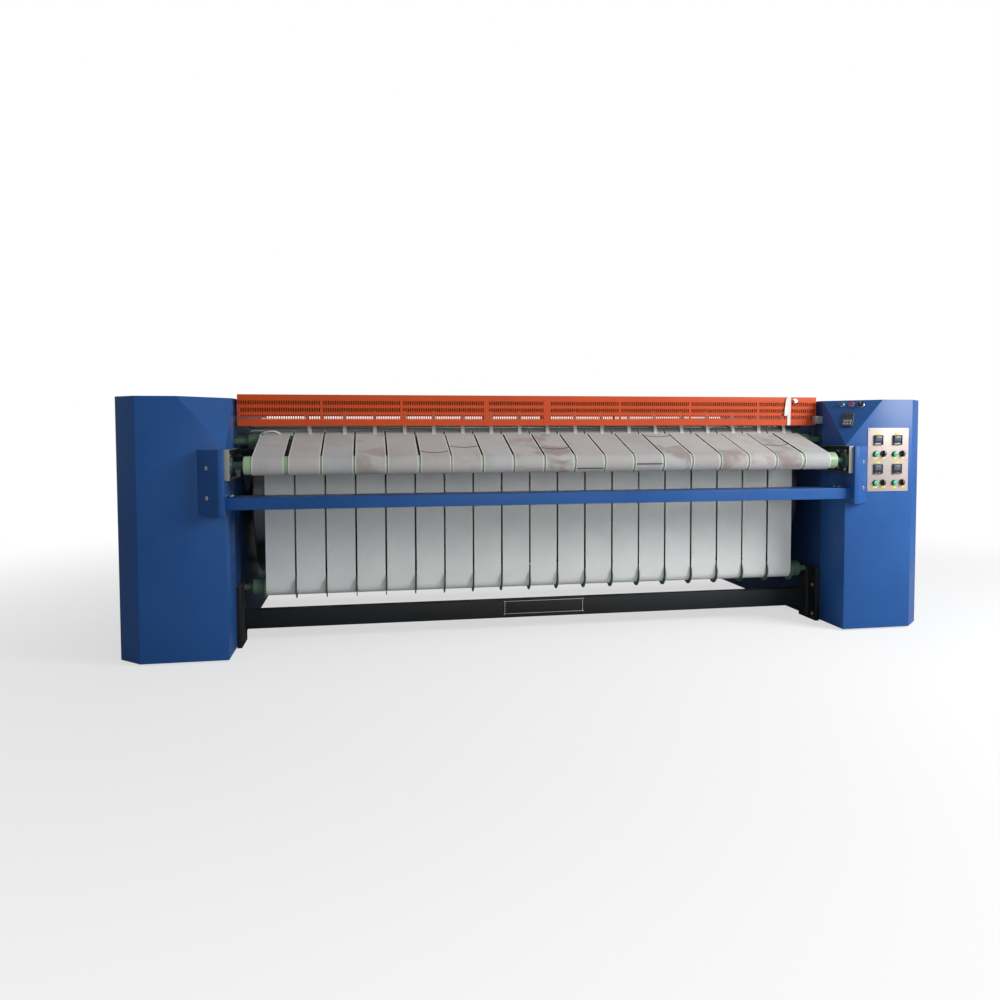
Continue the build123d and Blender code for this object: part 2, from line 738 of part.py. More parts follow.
with BuildPart() as limit_switch:
    with Locations((INNER_X, FACE_Y + SWITCH_BACK, SWITCH_LEVEL)):
        Box(
            SWITCH_WIDTH + SWITCH_GAP,
            SWITCH_DEPTH,
            SWITCH_HEIGHT,
            align=(Align.MAX, Align.MAX, Align.CENTER),
        )
    chamfer(limit_switch.edges().filter_by(Axis.Z).group_by(Axis.X)[0], 4)
    with BuildSketch(Plane.XZ.offset(-(FACE_Y + SWITCH_BACK))):
        with Locations((INNER_X - SWITCH_GAP - SWITCH_WIDTH / 2, SWITCH_LEVEL)):
            RegularPolygon(PLUNGER_RADIUS, 6)
    extrude(amount=PLUNGER_CLEARANCE - SWITCH_GAP)
save(limit_switch, "limit_switch")

# ---------------------------------------------------------------- guide tapes
ROD = spot(ROD_BACK, ROD_HEIGHT)
ROD_HALF = 1587
HANGER_THICK = 4
TAPE_LIFT = 0.3

with BuildPart() as tape_rod:
    with BuildSketch(Plane.YZ.offset(-ROD_HALF)):
        with Locations(ROD):
            Circle(ROD_RADIUS)
    extrude(amount=2 * ROD_HALF)
save(tape_rod, "tape_rod")

with BuildPart() as tape_bar:
    with BuildSketch(Plane.YZ.offset(-INNER_X)):
        with Locations(spot(ROD_BACK - ROD_RADIUS, BAR_HEIGHT)):
            Rectangle(BAR_SIDE, BAR_SIDE, align=(Align.MIN, Align.CENTER))
    extrude(amount=2 * INNER_X)
    with BuildSketch(Plane.YZ.offset(-ROD_HALF - HANGER_THICK), Plane.YZ.offset(ROD_HALF)):
        with Locations(spot(ROD_BACK - ROD_RADIUS, BAR_HEIGHT - BAR_SIDE / 2)):
            Rectangle(
                BAR_SIDE,
                BAR_HEIGHT - ROD_HEIGHT - BAR_SIDE / 2 + ROD_RADIUS,
                align=(Align.MIN, Align.MAX),
            )
    extrude(amount=HANGER_THICK)
save(tape_bar, "tape_bar")


def strip(points, thickness):
    """The closed outline of a strip that follows a line of points, mitred at its bends."""
    line = [Vector(*point) for point in points]
    runs = [(b - a).normalized() for a, b in zip(line, line[1:])]
    faces = []
    for index, point in enumerate(line):
        before = runs[max(index - 1, 0)]
        after = runs[min(index, len(runs) - 1)]
        square = Vector(-(before + after).Y, (before + after).X).normalized()
        mitre = thickness / 2 / square.dot(Vector(-before.Y, before.X))
        faces.append((point + square * mitre, point - square * mitre))
    return [near for near, far in faces] + [far for near, far in reversed(faces)]


TAPE_HALF = TAPE_THICK / 2
TAPE_Y = ROD[0] - ROD_RADIUS - TAPE_LIFT - TAPE_HALF
BELT_CORNER = (ROLLER_RADIUS + BELT_CLEARANCE + BELT_THICK) / cos(radians(ROLLER_CHORD / 2))
TAPE_REACH = BELT_CORNER + TAPE_LIFT + TAPE_HALF
TAPE_CREST = ENTRY[1] + TAPE_REACH
TAPE_TURN = TAPE_REACH / cos(radians(22.5))
TAPE_TAIL = 70
TAPE_LINE = [
    (TAPE_Y, BAR_HEIGHT + BAR_SIDE / 2),
    (TAPE_Y, ROD_HEIGHT - ROD_RADIUS),
    (TAPE_Y + ROD_RADIUS, TAPE_CREST),
    rim(ENTRY, TAPE_TURN, 67.5),
    rim(ENTRY, TAPE_TURN, 22.5),
    (ENTRY[0] + TAPE_REACH, ENTRY[1] - TAPE_TAIL),
]

with BuildPart() as guide_tapes:
    with BuildSketch(*[Plane.YZ.offset(x - TAPE_WIDTH / 2) for x in TAPE_MIDDLES[:-1]]):
        with BuildLine():
            Polyline(*strip(TAPE_LINE, TAPE_THICK), close=True)
        make_face()
    extrude(amount=TAPE_WIDTH)
save(guide_tapes, "guide_tapes")

# The right-hand tape is thrown back over the guard and held by a hook.
LOOP_Y = FACE_Y + GUARD_FRONT - TAPE_LIFT - TAPE_HALF
LOOP_TOP = GUARD_TOP + TAPE_LIFT + TAPE_HALF
LOOP_BACK = 60
LOOP_LINE = [(LOOP_Y, GUARD_BOTTOM + TAPE_LIFT), (LOOP_Y, LOOP_TOP), (LOOP_Y + LOOP_BACK, LOOP_TOP)]

with BuildPart() as looped_tape:
    with BuildSketch(Plane.YZ.offset(TAPE_MIDDLES[-1] - TAPE_WIDTH / 2)):
        with BuildLine():
            Polyline(*strip(LOOP_LINE, TAPE_THICK), close=True)
        make_face()
    extrude(amount=TAPE_WIDTH)
save(looped_tape, "looped_tape")

# ---------------------------------------------------------------- zone control panel
CABINET_FACE = Plane.XZ.offset(-FACE_Y)
PANEL_FACE = CABINET_FACE.offset(PANEL_THICK)
ZONE_LEFT = 1850
ZONE_TOP = 1075
ZONES = [
    (ZONE_LEFT + column * ZONE_PITCH, ZONE_TOP - row * ZONE_ROW) for row in (0, 1) for column in (0, 1)
]
BUTTON_SHIFT = (-16, -79)
KNOB_SHIFT = (33, -77)
BUTTON_SPOTS = [(x + BUTTON_SHIFT[0], z + BUTTON_SHIFT[1]) for x, z in ZONES]
KNOB_SPOTS = [(x + KNOB_SHIFT[0], z + KNOB_SHIFT[1]) for x, z in ZONES]

with BuildPart() as control_panel:
    with BuildSketch(CABINET_FACE):
        with Locations((PANEL_LEFT, PANEL_BOTTOM)):
            Rectangle(PANEL_WIDTH, PANEL_HEIGHT, align=LOW_CORNER)
    extrude(amount=PANEL_THICK)
save(control_panel, "control_panel")

DISPLAY_RIM = 4
DISPLAY_RECESS = 2

with BuildPart() as zone_displays:
    with BuildSketch(PANEL_FACE):
        with Locations(*ZONES):
            Rectangle(DISPLAY_SIDE, DISPLAY_SIDE)
    extrude(amount=DISPLAY_PROUD)
    with BuildSketch(PANEL_FACE.offset(DISPLAY_PROUD)):
        with Locations(*ZONES):
            Rectangle(DISPLAY_SIDE - 2 * DISPLAY_RIM, DISPLAY_SIDE - 2 * DISPLAY_RIM)
    extrude(amount=-DISPLAY_RECESS, mode=Mode.SUBTRACT)
save(zone_displays, "zone_displays")

BUTTON_SLACK = 0.1
BUTTON_REST = BUTTON_TRAVEL + 1
START_SPOT = (114, -31)
STOP_SPOT = (168, -32)
SWITCH_SPOT = (218, -31)


def bezels(face, places):
    """Raised rings that guide the push buttons of one face."""
    with BuildPart() as rings:
        with BuildSketch(face):
            with Locations(*places):
                RegularPolygon(BEZEL_RADIUS, DISC_SIDES)
                RegularPolygon(
                    BUTTON_RADIUS + BUTTON_SLACK, DISC_SIDES, major_radius=False, mode=Mode.SUBTRACT
                )
        extrude(amount=BEZEL_PROUD)
    return rings


def push_button(face, place):
    """A round cap that stands in its bezel, clear of the face by its travel."""
    with BuildPart() as cap:
        with BuildSketch(face.offset(BUTTON_REST)):
            with Locations(place):
                RegularPolygon(BUTTON_RADIUS, CAP_SIDES)
        extrude(amount=BUTTON_PROUD - BUTTON_REST)
    return cap


def selector(face, place):
    """A knob with a straight grip, which turns on its face."""
    with BuildPart() as knob:
        with BuildSketch(face.offset(RUNNING_FIT)):
            with Locations(place):
                RegularPolygon(KNOB_RADIUS, CAP_SIDES)
        extrude(amount=KNOB_HEIGHT)
        with BuildSketch(face.offset(RUNNING_FIT + KNOB_HEIGHT)):
            with Locations(place):
                Rectangle(GRIP_WIDTH, GRIP_LENGTH)
        extrude(amount=KNOB_GRIP)
    return knob


save(bezels(PANEL_FACE, BUTTON_SPOTS), "zone_button_bezels")
for number, (button_spot, knob_spot) in enumerate(zip(BUTTON_SPOTS, KNOB_SPOTS), 1):
    save(push_button(PANEL_FACE, button_spot), f"zone_button_{number}")
    save(selector(PANEL_FACE, knob_spot), f"zone_knob_{number}")

save(push_button(FACET, START_SPOT), "start_button")
save(push_button(FACET, STOP_SPOT), "stop_button")

KEYPAD_SPOT = (166, -138)
KEYPAD_WIDTH = 62
KEYPAD_HEIGHT = 92
KEYPAD_PROUD = 14
KEYPAD_EDGE = 3
SEAT_THICK = 3

with BuildPart() as keypad:
    with BuildSketch(FACET):
        with Locations(KEYPAD_SPOT):
            Rectangle(KEYPAD_WIDTH, KEYPAD_HEIGHT)
    extrude(amount=KEYPAD_PROUD, taper=KEYPAD_EDGE)
save(keypad, "keypad")

with BuildPart() as facet_bezels:
    add(bezels(FACET, [START_SPOT, STOP_SPOT]).part)
    with BuildSketch(FACET):
        with Locations(SWITCH_SPOT):
            RegularPolygon(BEZEL_RADIUS + SEAT_THICK, DISC_SIDES)
    extrude(amount=SEAT_THICK)
save(facet_bezels, "facet_bezels")
save(selector(FACET.offset(SEAT_THICK), SWITCH_SPOT), "mode_switch")

# ---------------------------------------------------------------- exit chute
CHUTE_TOP = 780
CHUTE_GAP = 6
CHUTE_RADIUS = 230
CHUTE_BEND = 62
CHUTE_LIP = 25
CHUTE_SHEET = 2
CHUTE_DROP = 60
CHUTE_START = spot(EXIT_BACK + ROLLER_RADIUS + BELT_CLEARANCE + BELT_THICK + CHUTE_GAP, CHUTE_TOP)

with BuildPart() as exit_chute:
    with BuildSketch(Plane.YZ.offset(-INNER_X)):
        with BuildLine():
            drop = Line(CHUTE_START, (CHUTE_START[0], CHUTE_TOP - CHUTE_DROP))
            bend = JernArc(start=drop @ 1, tangent=drop % 1, radius=CHUTE_RADIUS, arc_size=CHUTE_BEND)
            lip = JernArc(start=bend @ 1, tangent=bend % 1, radius=CHUTE_LIP, arc_size=CHUTE_BEND)
            offset(amount=CHUTE_SHEET, side=Side.LEFT)
        make_face()
    extrude(amount=2 * INNER_X)
save(exit_chute, "exit_chute")

# ---------------------------------------------------------------- bolts
RAIL_BOLT_X = ARM_X - 12
RAIL_BOLT_BACKS = (36, 84)
ARM_BOLT_LEVELS = (810, 954)
POST_BOLT_LEVELS = (30, 205)
BRACKET_BOLT_BACK = 60
BRACKET_BOLT_EDGE = 32
BRACKET_BOLT_LEVELS = (BRACKET_BOTTOM + BRACKET_BOLT_EDGE, BRACKET_TOP - BRACKET_BOLT_EDGE)
ARM_SLOPE = Plane(
    origin=(ARM_X + ARM_FLAT, FACE_Y - ARM_PROUD, 0),
    x_dir=(ARM_WIDTH - ARM_FLAT, ARM_PROUD, 0),
    z_dir=(ARM_PROUD, ARM_FLAT - ARM_WIDTH, 0),
)
ARM_SLOPE_LENGTH = hypot(ARM_WIDTH - ARM_FLAT, ARM_PROUD)
RAIL_TOP = RAIL_BOTTOM + RAIL_HEIGHT

with BuildPart() as cover_bolts:
    with BuildSketch(Plane.XY.offset(RAIL_TOP)):
        with Locations(*[(RAIL_BOLT_X, FACE_Y + back) for back in RAIL_BOLT_BACKS]):
            RegularPolygon(BOLT_RADIUS, 6)
    extrude(amount=BOLT_HEAD)
    with BuildSketch(ARM_SLOPE):
        with Locations(*[(ARM_SLOPE_LENGTH * 0.55, level) for level in ARM_BOLT_LEVELS]):
            RegularPolygon(BOLT_RADIUS, 6)
    extrude(amount=BOLT_HEAD)
    with BuildSketch(Plane.YZ.offset(INNER_X - POST_WEB)):
        with Locations(*[spot((POST_FRONT + BEAM_BACK) / 2, level) for level in POST_BOLT_LEVELS]):
            RegularPolygon(BOLT_RADIUS, 6)
    extrude(amount=-BOLT_HEAD)
    with BuildSketch(Plane.YZ.offset(ARM_X - BRACKET_PLATE)):
        with Locations(*[spot(BRACKET_BOLT_BACK, level) for level in BRACKET_BOLT_LEVELS]):
            RegularPolygon(BOLT_RADIUS, 6)
    extrude(amount=-BOLT_HEAD)
    mirror(about=Plane.YZ)
save(cover_bolts, "cover_bolts")
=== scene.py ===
import math
import random

import bmesh
import bpy
from mathutils import Matrix, Vector


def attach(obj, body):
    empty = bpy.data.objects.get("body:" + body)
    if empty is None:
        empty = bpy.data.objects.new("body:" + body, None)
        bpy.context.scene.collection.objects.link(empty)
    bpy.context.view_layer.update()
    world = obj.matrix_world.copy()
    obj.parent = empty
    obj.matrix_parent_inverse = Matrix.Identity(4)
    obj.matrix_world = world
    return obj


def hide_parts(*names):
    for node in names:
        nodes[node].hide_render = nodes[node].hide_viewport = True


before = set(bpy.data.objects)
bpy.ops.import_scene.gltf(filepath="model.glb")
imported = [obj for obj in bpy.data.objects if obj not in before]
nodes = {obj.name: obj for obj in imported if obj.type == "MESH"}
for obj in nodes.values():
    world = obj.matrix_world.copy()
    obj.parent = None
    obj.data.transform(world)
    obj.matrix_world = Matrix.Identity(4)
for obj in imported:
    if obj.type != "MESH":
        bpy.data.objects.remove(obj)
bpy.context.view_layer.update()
scene = bpy.context.scene
rng = random.Random(19)

# ---- sizes, in metres
FRONT = -0.7775
BACK = 0.8725
BAY_HALF = 1.654
ARM_HALF = 1.65
HALF_LENGTH = 2.18
CABINET_TOP = 1.302
ROLLER_HALF = 1.585
ROLLER_RADIUS = 0.045
TABLE_RADIUS = 0.032
SHAFT_RADIUS = 0.018
DRUM_RADIUS = 0.45
BELT_COUNT = 19
BELT_WIDTH = 0.15
BELT_PITCH = 0.16
BELT_THICK = 0.003
BELT_GAP = 0.0005
BELT_OUT = BELT_GAP + BELT_THICK
BELT_STARTS = [(i - BELT_COUNT / 2) * BELT_PITCH + 0.005 for i in range(BELT_COUNT)]
TAPE_MIDDLES = [x + BELT_WIDTH / 2 + 0.025 for x in BELT_STARTS]
UP = Vector((0, 0, 1))
FORWARDS = Vector((0, -1, 0))


def spot(back, height):
    """A point (y, z) of the side view, from its distance behind the cabinets' front."""
    return (FRONT + back, height)


FEED = spot(-0.026, 0.965)
TABLE = spot(0.295, 1.078)
ENTRY = spot(0.386, 1.09)
LOWER = spot(0.386, 0.296)
DRUM = spot(0.85, 0.76)
EXIT = spot(1.345, 0.9)
RETURN = spot(1.345, 0.296)

# ---- shader nodes


def add_node(tree, kind, links=(), **settings):
    """A node with its settings, and links or plain values for its inputs."""
    made = tree.nodes.new("ShaderNode" + kind)
    for key, value in settings.items():
        setattr(made, key, value)
    for key, source in dict(links).items():
        if isinstance(source, bpy.types.NodeSocket):
            tree.links.new(source, made.inputs[key])
        else:
            made.inputs[key].default_value = source
    return made


def maths(tree, operation, *values):
    """The result of a sum on one or two values."""
    return add_node(tree, "Math", enumerate(values), operation=operation).outputs[0]


def noise(tree, vector, scale, detail=2.0, roughness=0.5, distortion=0.0):
    """The value of a noise pattern."""
    return add_node(tree, "TexNoise",
                    {"Vector": vector, "Scale": scale, "Detail": detail, "Roughness": roughness,
                     "Distortion": distortion}).outputs[0]


def part_of(tree, vector, index):
    """One of a vector's three parts."""
    return add_node(tree, "SeparateXYZ", {0: vector}).outputs[index]


def spread(tree, value, low, high, to_low=0.0, to_high=1.0):
    """A value mapped smoothly from one range to another."""
    return add_node(tree, "MapRange",
                    {0: value, 1: low, 2: high, 3: to_low, 4: to_high},
                    interpolation_type="SMOOTHSTEP").outputs[0]


def mixed(tree, factor, first, second, blend="MIX"):
    """Two colours mixed by a factor."""
    return add_node(tree, "Mix", {0: factor, 6: first, 7: second},
                    data_type="RGBA", blend_type=blend).outputs[2]


def object_vector(tree):
    """The place on a piece, in metres."""
    return tree.nodes.new("ShaderNodeTexCoord").outputs["Object"]


# ---- shared effects, built once


def effect(name, inputs, outputs, build):
    """A node group with named sockets; build makes its nodes and gives its results."""
    group = bpy.data.node_groups.new(name, "ShaderNodeTree")
    for way, sockets in (("INPUT", inputs), ("OUTPUT", outputs)):
        for label, kind in sockets.items():
            group.interface.new_socket(label, in_out=way, socket_type="NodeSocket" + kind)
    given = group.nodes.new("NodeGroupInput").outputs
    results = group.nodes.new("NodeGroupOutput").inputs
    for result, socket in zip(build(group, given), results):
        group.links.new(result, socket)
    return group


def build_mottle(group, given):
    """Slow, uneven changes of a colour, as on hand-wiped paint or used cloth."""
    value = noise(group, given["Vector"], given["Scale"], 6.0, 0.6)
    level = add_node(group, "MapRange",
                     {0: value, 1: 0.3, 2: 0.7, 3: given["Dark"], 4: given["Light"]})
    return mixed(group, 1.0, given["Color"], level.outputs[0], "MULTIPLY"), value


def build_dust(group, given):
    """Pale dust that gathers on faces that look up."""
    normal = group.nodes.new("ShaderNodeNewGeometry").outputs["Normal"]
    settled = spread(group, part_of(group, normal, 2), 0.5, 0.95)
    patch = spread(group, noise(group, given["Vector"], 9.0, 8.0, 0.7), 0.35, 0.75)
    cover = maths(group, "MULTIPLY", maths(group, "MULTIPLY", settled, patch), given["Amount"])
    return [mixed(group, cover, given["Color"], given["Dust"])]


def build_scuffs(group, given):
    """Thin scratches and rubbed spots, as a mask."""
    stretched = add_node(group, "Mapping",
                         {"Vector": given["Vector"], "Scale": (1.0, 1.0, 7.0),
                          "Rotation": (0.4, 0.7, 0.2)}).outputs[0]
    thin = spread(group, noise(group, stretched, given["Scale"], 10.0, 0.8), 0.62, 0.7)
    gate = spread(group, noise(group, given["Vector"], 2.3, 3.0), 0.52, 0.68)
    return [maths(group, "MULTIPLY", maths(group, "MULTIPLY", gate, thin), given["Cover"])]


def build_grain(group, given):
    """Fine lines along one direction, as brushing or turning leaves in metal."""
    along = add_node(group, "Mapping",
                     {"Vector": given["Vector"], "Scale": given["Stretch"]}).outputs[0]
    lines = noise(group, along, 1.0, 5.0, 0.75)
    return lines, spread(group, lines, 0.3, 0.7, 0.24, 0.42)


def build_weave(group, given):
    """Crossing threads of a woven belt, from a map whose two sides are in metres."""
    waves = []
    for side in (0, 1):
        turns = maths(group, "MULTIPLY", part_of(group, given["Vector"], side),
                      given["Threads per metre"])
        waves.append(maths(group, "SINE", maths(group, "MULTIPLY", turns, math.tau)))
    return [maths(group, "MULTIPLY", *waves)]


MOTTLE = effect("mottle", {"Vector": "Vector", "Color": "Color", "Scale": "Float",
                           "Dark": "Float", "Light": "Float"},
                {"Color": "Color", "Value": "Float"}, build_mottle)
DUST = effect("dust", {"Vector": "Vector", "Color": "Color", "Dust": "Color", "Amount": "Float"},
              {"Color": "Color"}, build_dust)
SCUFFS = effect("scuffs", {"Vector": "Vector", "Scale": "Float", "Cover": "Float"},
                {"Mask": "Float"}, build_scuffs)
GRAIN = effect("grain", {"Vector": "Vector", "Stretch": "Vector"},
               {"Height": "Float", "Roughness": "Float"}, build_grain)
WEAVE = effect("weave", {"Vector": "Vector", "Threads per metre": "Float"},
               {"Height": "Float"}, build_weave)

# ---- materials
DUST_COLOUR = (0.42, 0.4, 0.36, 1.0)
BARE_METAL = (0.34, 0.34, 0.33, 1.0)
SPECK_COLOUR = (0.1, 0.09, 0.085, 1.0)
# Painted shade: the dark grey laid over belts high up, where they run over the drum under the
# guard.
PAINTED_SHADE_COLOUR = (0.15, 0.142, 0.132, 1.0)
# Painted highlight: the pale colour along each belt's edges, where curled edges would catch the
# light.
EDGE_HIGHLIGHT_COLOUR = (0.86, 0.85, 0.8, 1.0)
# The heights over which that painted shade comes in.
PAINTED_SHADE_LEVELS = (1.1, 1.136)


def blank_material(name, roughness, metallic=0.0, **extras):
    """A material with its shader's plain values set, its tree and its shader."""
    material = bpy.data.materials.new(name)
    material.use_nodes = True
    tree = material.node_tree
    shader = tree.nodes["Principled BSDF"]
    for key, value in {"Roughness": roughness, "Metallic": metallic, **extras}.items():
        shader.inputs[key.replace("_", " ")].default_value = value
    return material, tree, shader


def placed(tree, group, values):
    """One of the shared effects in a material; gives its results."""
    return add_node(tree, "Group", values, node_tree=group).outputs


def mottled(tree, vector, colour, scale, dark, light):
    """A colour made uneven, and the value that makes it so."""
    return placed(tree, MOTTLE, {"Vector": vector, "Color": (*colour, 1.0), "Scale": scale,
                                 "Dark": dark, "Light": light})


def bumped(tree, shader, height, strength, distance):
    """Feed a height to the shader as a bump."""
    bump = add_node(tree, "Bump",
                    {"Height": height, "Strength": strength, "Distance": distance})
    tree.links.new(bump.outputs[0], shader.inputs["Normal"])


def paint(name, colour, roughness=0.38, dust=0.25, scuffs=0.35, coat=0.25):
    """Sheet-metal paint: faint orange peel, uneven wiping, settled dust and a few scuffs."""
    material, tree, shader = blank_material(name, roughness, Coat_Weight=coat, Coat_Roughness=0.22,
                                            Specular_IOR_Level=0.25)
    vector = object_vector(tree)
    base, value = mottled(tree, vector, colour, 2.2, 0.9, 1.08)
    dusty = placed(tree, DUST, {"Vector": vector, "Color": base, "Dust": DUST_COLOUR,
                                "Amount": dust})[0]
    marks = placed(tree, SCUFFS, {"Vector": vector, "Scale": 34.0, "Cover": scuffs})[0]
    tree.links.new(mixed(tree, marks, dusty, BARE_METAL), shader.inputs["Base Color"])
    tree.links.new(spread(tree, value, 0.3, 0.7, roughness - 0.06, roughness + 0.1),
                   shader.inputs["Roughness"])
    bumped(tree, shader, noise(tree, vector, 260.0), 0.1, 0.0006)
    return material


def metal(name, colour, stretch, depth=0.0004, tarnish=0.85, metallic=1.0, dull=0.0):
    """Bare metal with fine lines, its grain stretched along the work."""
    material, tree, shader = blank_material(name, 0.3, metallic=metallic)
    vector = object_vector(tree)
    height, rough = placed(tree, GRAIN, {"Vector": vector, "Stretch": stretch})
    tree.links.new(mottled(tree, vector, colour, 3.5, tarnish, 1.05)[0],
                   shader.inputs["Base Color"])
    tree.links.new(maths(tree, "ADD", rough, dull), shader.inputs["Roughness"])
    bumped(tree, shader, height, 0.25, depth)
    return material


def plastic(name, colour, roughness, grain=900.0):
    """Moulded plastic with a faint texture."""
    material, tree, shader = blank_material(name, roughness)
    vector = object_vector(tree)
    tree.links.new(mottled(tree, vector, colour, 30.0, 0.92, 1.06)[0],
                   shader.inputs["Base Color"])
    bumped(tree, shader, noise(tree, vector, grain), 0.12, 0.0003)
    return material


def belting(name, colour, stain, stain_cover, highlight_width, painted_shade):
    """Woven belting: threads, darker worn patches, brown stains, pale edges painted as highlights,
    and painted shade above a height.

    Its map runs across the belt and along it, in metres."""
    material, tree, shader = blank_material(name, 0.86, Sheen_Weight=0.25, Sheen_Roughness=0.5)
    vector = object_vector(tree)
    mapped = add_node(tree, "UVMap", uv_map="belt").outputs[0]
    tint = add_node(tree, "Attribute", attribute_name="tint",
                    attribute_type="GEOMETRY").outputs
    toned = mixed(tree, 1.0, mottled(tree, vector, colour, 5.0, 0.95, 1.03)[0], tint["Color"],
                  "MULTIPLY")
    cloudy = spread(tree, noise(tree, vector, 4.2, 7.0, 0.62, 0.6), 0.47, 0.62, 0.0, stain_cover)
    stained = mixed(tree, maths(tree, "MULTIPLY", cloudy, tint["Alpha"]), toned, (*stain, 1.0))
    dots = spread(tree, noise(tree, vector, 46.0, 4.0, 0.8), 0.66, 0.74, 0.0, 0.45 * stain_cover)
    dotted = mixed(tree, dots, stained, SPECK_COLOUR)
    # Painted shade: darker above a height, over the drum under the guard.
    shade_share = spread(tree, part_of(tree, vector, 2), *PAINTED_SHADE_LEVELS, 0.0, painted_shade)
    shaded = mixed(tree, shade_share, dotted, PAINTED_SHADE_COLOUR)
    # Painted highlight along both edges of each belt.
    half = BELT_WIDTH / 2
    off_middle = maths(tree, "ABSOLUTE", maths(tree, "SUBTRACT", part_of(tree, mapped, 0), half))
    edge_highlight = spread(tree, off_middle, half - highlight_width, half - 0.5 * highlight_width, 0.0, 0.6)
    tree.links.new(mixed(tree, edge_highlight, shaded, EDGE_HIGHLIGHT_COLOUR), shader.inputs["Base Color"])
    threads = placed(tree, WEAVE, {"Vector": mapped, "Threads per metre": 420.0})[0]
    bumped(tree, shader, threads, 0.35, 0.0004)
    return material


CABINET_BLUE = paint("cabinet_blue", (0.016, 0.09, 0.305), 0.4, dust=0.15, scuffs=0.06, coat=0.06)
# Painted shade: the cabinet blue darkened for the inner walls deep in the bay; the guard pivots
# take it too.
INNER_SHADE_BLUE = paint("inner_wall_shade_blue", (0.012, 0.04, 0.13), 0.5, scuffs=0.3, coat=0.05)
FRAME_BLACK = paint("frame_black", (0.011, 0.013, 0.015), 0.55, dust=0.15, scuffs=0.2, coat=0.0)
BRACKET_BLACK = paint("bracket_black", (0.02, 0.026, 0.028), 0.45, scuffs=0.4)
BARE_EDGE = paint("bare_edge", (0.3, 0.3, 0.285), 0.5, dust=0.1, scuffs=0.5)
GUARD_ORANGE = paint("guard_orange", (0.6, 0.072, 0.011), 0.5, dust=0.06, scuffs=0.06, coat=0.0)
# Painted shade: the guard's orange darkened for its inside, so that the slots look dark.
GUARD_INSIDE_SHADE = paint("guard_inside_shade", (0.11, 0.018, 0.01), 0.6, dust=0.3, scuffs=0.1, coat=0.0)
ROLLER_PALE = paint("roller_pale", (0.3, 0.44, 0.27), 0.36, dust=0.0, scuffs=0.25)
ROLLER_GREEN = paint("roller_green", (0.075, 0.14, 0.095), 0.4, dust=0.0, scuffs=0.4)
BEARING_GREEN = paint("bearing_green", (0.03, 0.075, 0.055), 0.5, dust=0.3, scuffs=0.5)
BAR_GREY = paint("bar_grey", (0.11, 0.108, 0.104), 0.6, dust=0.1, scuffs=0.2, coat=0.0)
DRUM_STEEL = metal("drum_steel", (0.15, 0.155, 0.155), (420.0, 2.0, 2.0), tarnish=0.8)
BRIGHT_GRAIN = (14.0, 240.0, 240.0)
ROD_STEEL = metal("rod_steel", (0.46, 0.46, 0.45), BRIGHT_GRAIN)
BOLT_STEEL = metal("bolt_steel", (0.7, 0.7, 0.66), (160.0, 160.0, 160.0), tarnish=0.7)
STAINLESS = metal("stainless", (0.5, 0.435, 0.405), (8.0, 30.0, 520.0), metallic=0.35, dull=0.25)
CHUTE_STEEL = metal("chute_steel", (0.6, 0.6, 0.59), (6.0, 420.0, 420.0))
CHROME = metal("bezel_chrome", (0.78, 0.78, 0.79), (60.0, 60.0, 60.0), depth=0.0001)
BELT_TABLE = belting("feed_belting", (0.47, 0.46, 0.455), (0.235, 0.17, 0.16), stain_cover=0.75,
                     highlight_width=0.006, painted_shade=0.0)
BELT_PRESS = belting("press_belting", (0.745, 0.77, 0.752), (0.36, 0.35, 0.32),
                     stain_cover=0.18, highlight_width=0.004, painted_shade=0.85)
TAPE_COTTON = plastic("tape_cotton", (0.74, 0.73, 0.69), 0.85, grain=1400.0)
# Painted shadow: the dark colour of the belts' edge faces and of the belt joints' lifted ends.
PAINTED_SHADOW_DARK = plastic("painted_shadow_dark", (0.085, 0.08, 0.08), 0.8)
GLASS_DARK = plastic("display_glass", (0.02, 0.024, 0.034), 0.1, grain=20.0)
SCREEN_GREY = plastic("display_screen", (0.09, 0.105, 0.15), 0.22, grain=60.0)
KNOB_BLACK = plastic("knob_black", (0.012, 0.012, 0.013), 0.36)
KNOB_LINE = plastic("knob_line", (0.72, 0.72, 0.72), 0.4)
BUTTON_GREEN = plastic("button_green", (0.02, 0.52, 0.25), 0.25)
START_GREEN = plastic("start_green", (0.012, 0.13, 0.085), 0.25)
BUTTON_RED = plastic("button_red", (0.42, 0.01, 0.018), 0.25)
LABEL_YELLOW = plastic("label_yellow", (0.7, 0.6, 0.04), 0.5)
KEYPAD_GREY = plastic("keypad_grey", (0.04, 0.043, 0.05), 0.45)
KEY_PALE = plastic("key_pale", (0.3, 0.31, 0.33), 0.45)
SWITCH_GREY = plastic("switch_grey", (0.26, 0.27, 0.25), 0.5)
FOOT_RUBBER = plastic("foot_rubber", (0.02, 0.02, 0.02), 0.8)

# ---- making pieces
MERGE = 0.00002


def shown(name, data):
    """An object with this data, in the scene."""
    made = bpy.data.objects.new(name, data)
    scene.collection.objects.link(made)
    return made


def finished(bm, name, materials, stands_for=(), body="machine", smooth=35):
    """Turn a bmesh into a finished piece that rides on a body, in place of CAD nodes.

    The open edges of a sheet stay sharp, so that its face shades flat up to them."""
    bm.edges.index_update()
    open_edges = [e.index for e in bm.edges if e.is_boundary]
    mesh = bpy.data.meshes.new(name)
    bm.to_mesh(mesh)
    bm.free()
    for material in materials if isinstance(materials, list) else [materials]:
        mesh.materials.append(material)
    mesh.shade_smooth()
    mesh.set_sharp_from_angle(angle=math.radians(smooth))
    for index in open_edges:
        mesh.edges[index].use_edge_sharp = True
    piece = shown(name, mesh)
    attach(piece, body)
    if stands_for:
        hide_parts(*stands_for)
    return piece


def outwards(bm):
    """Turn all faces outwards."""
    bmesh.ops.recalc_face_normals(bm, faces=bm.faces)


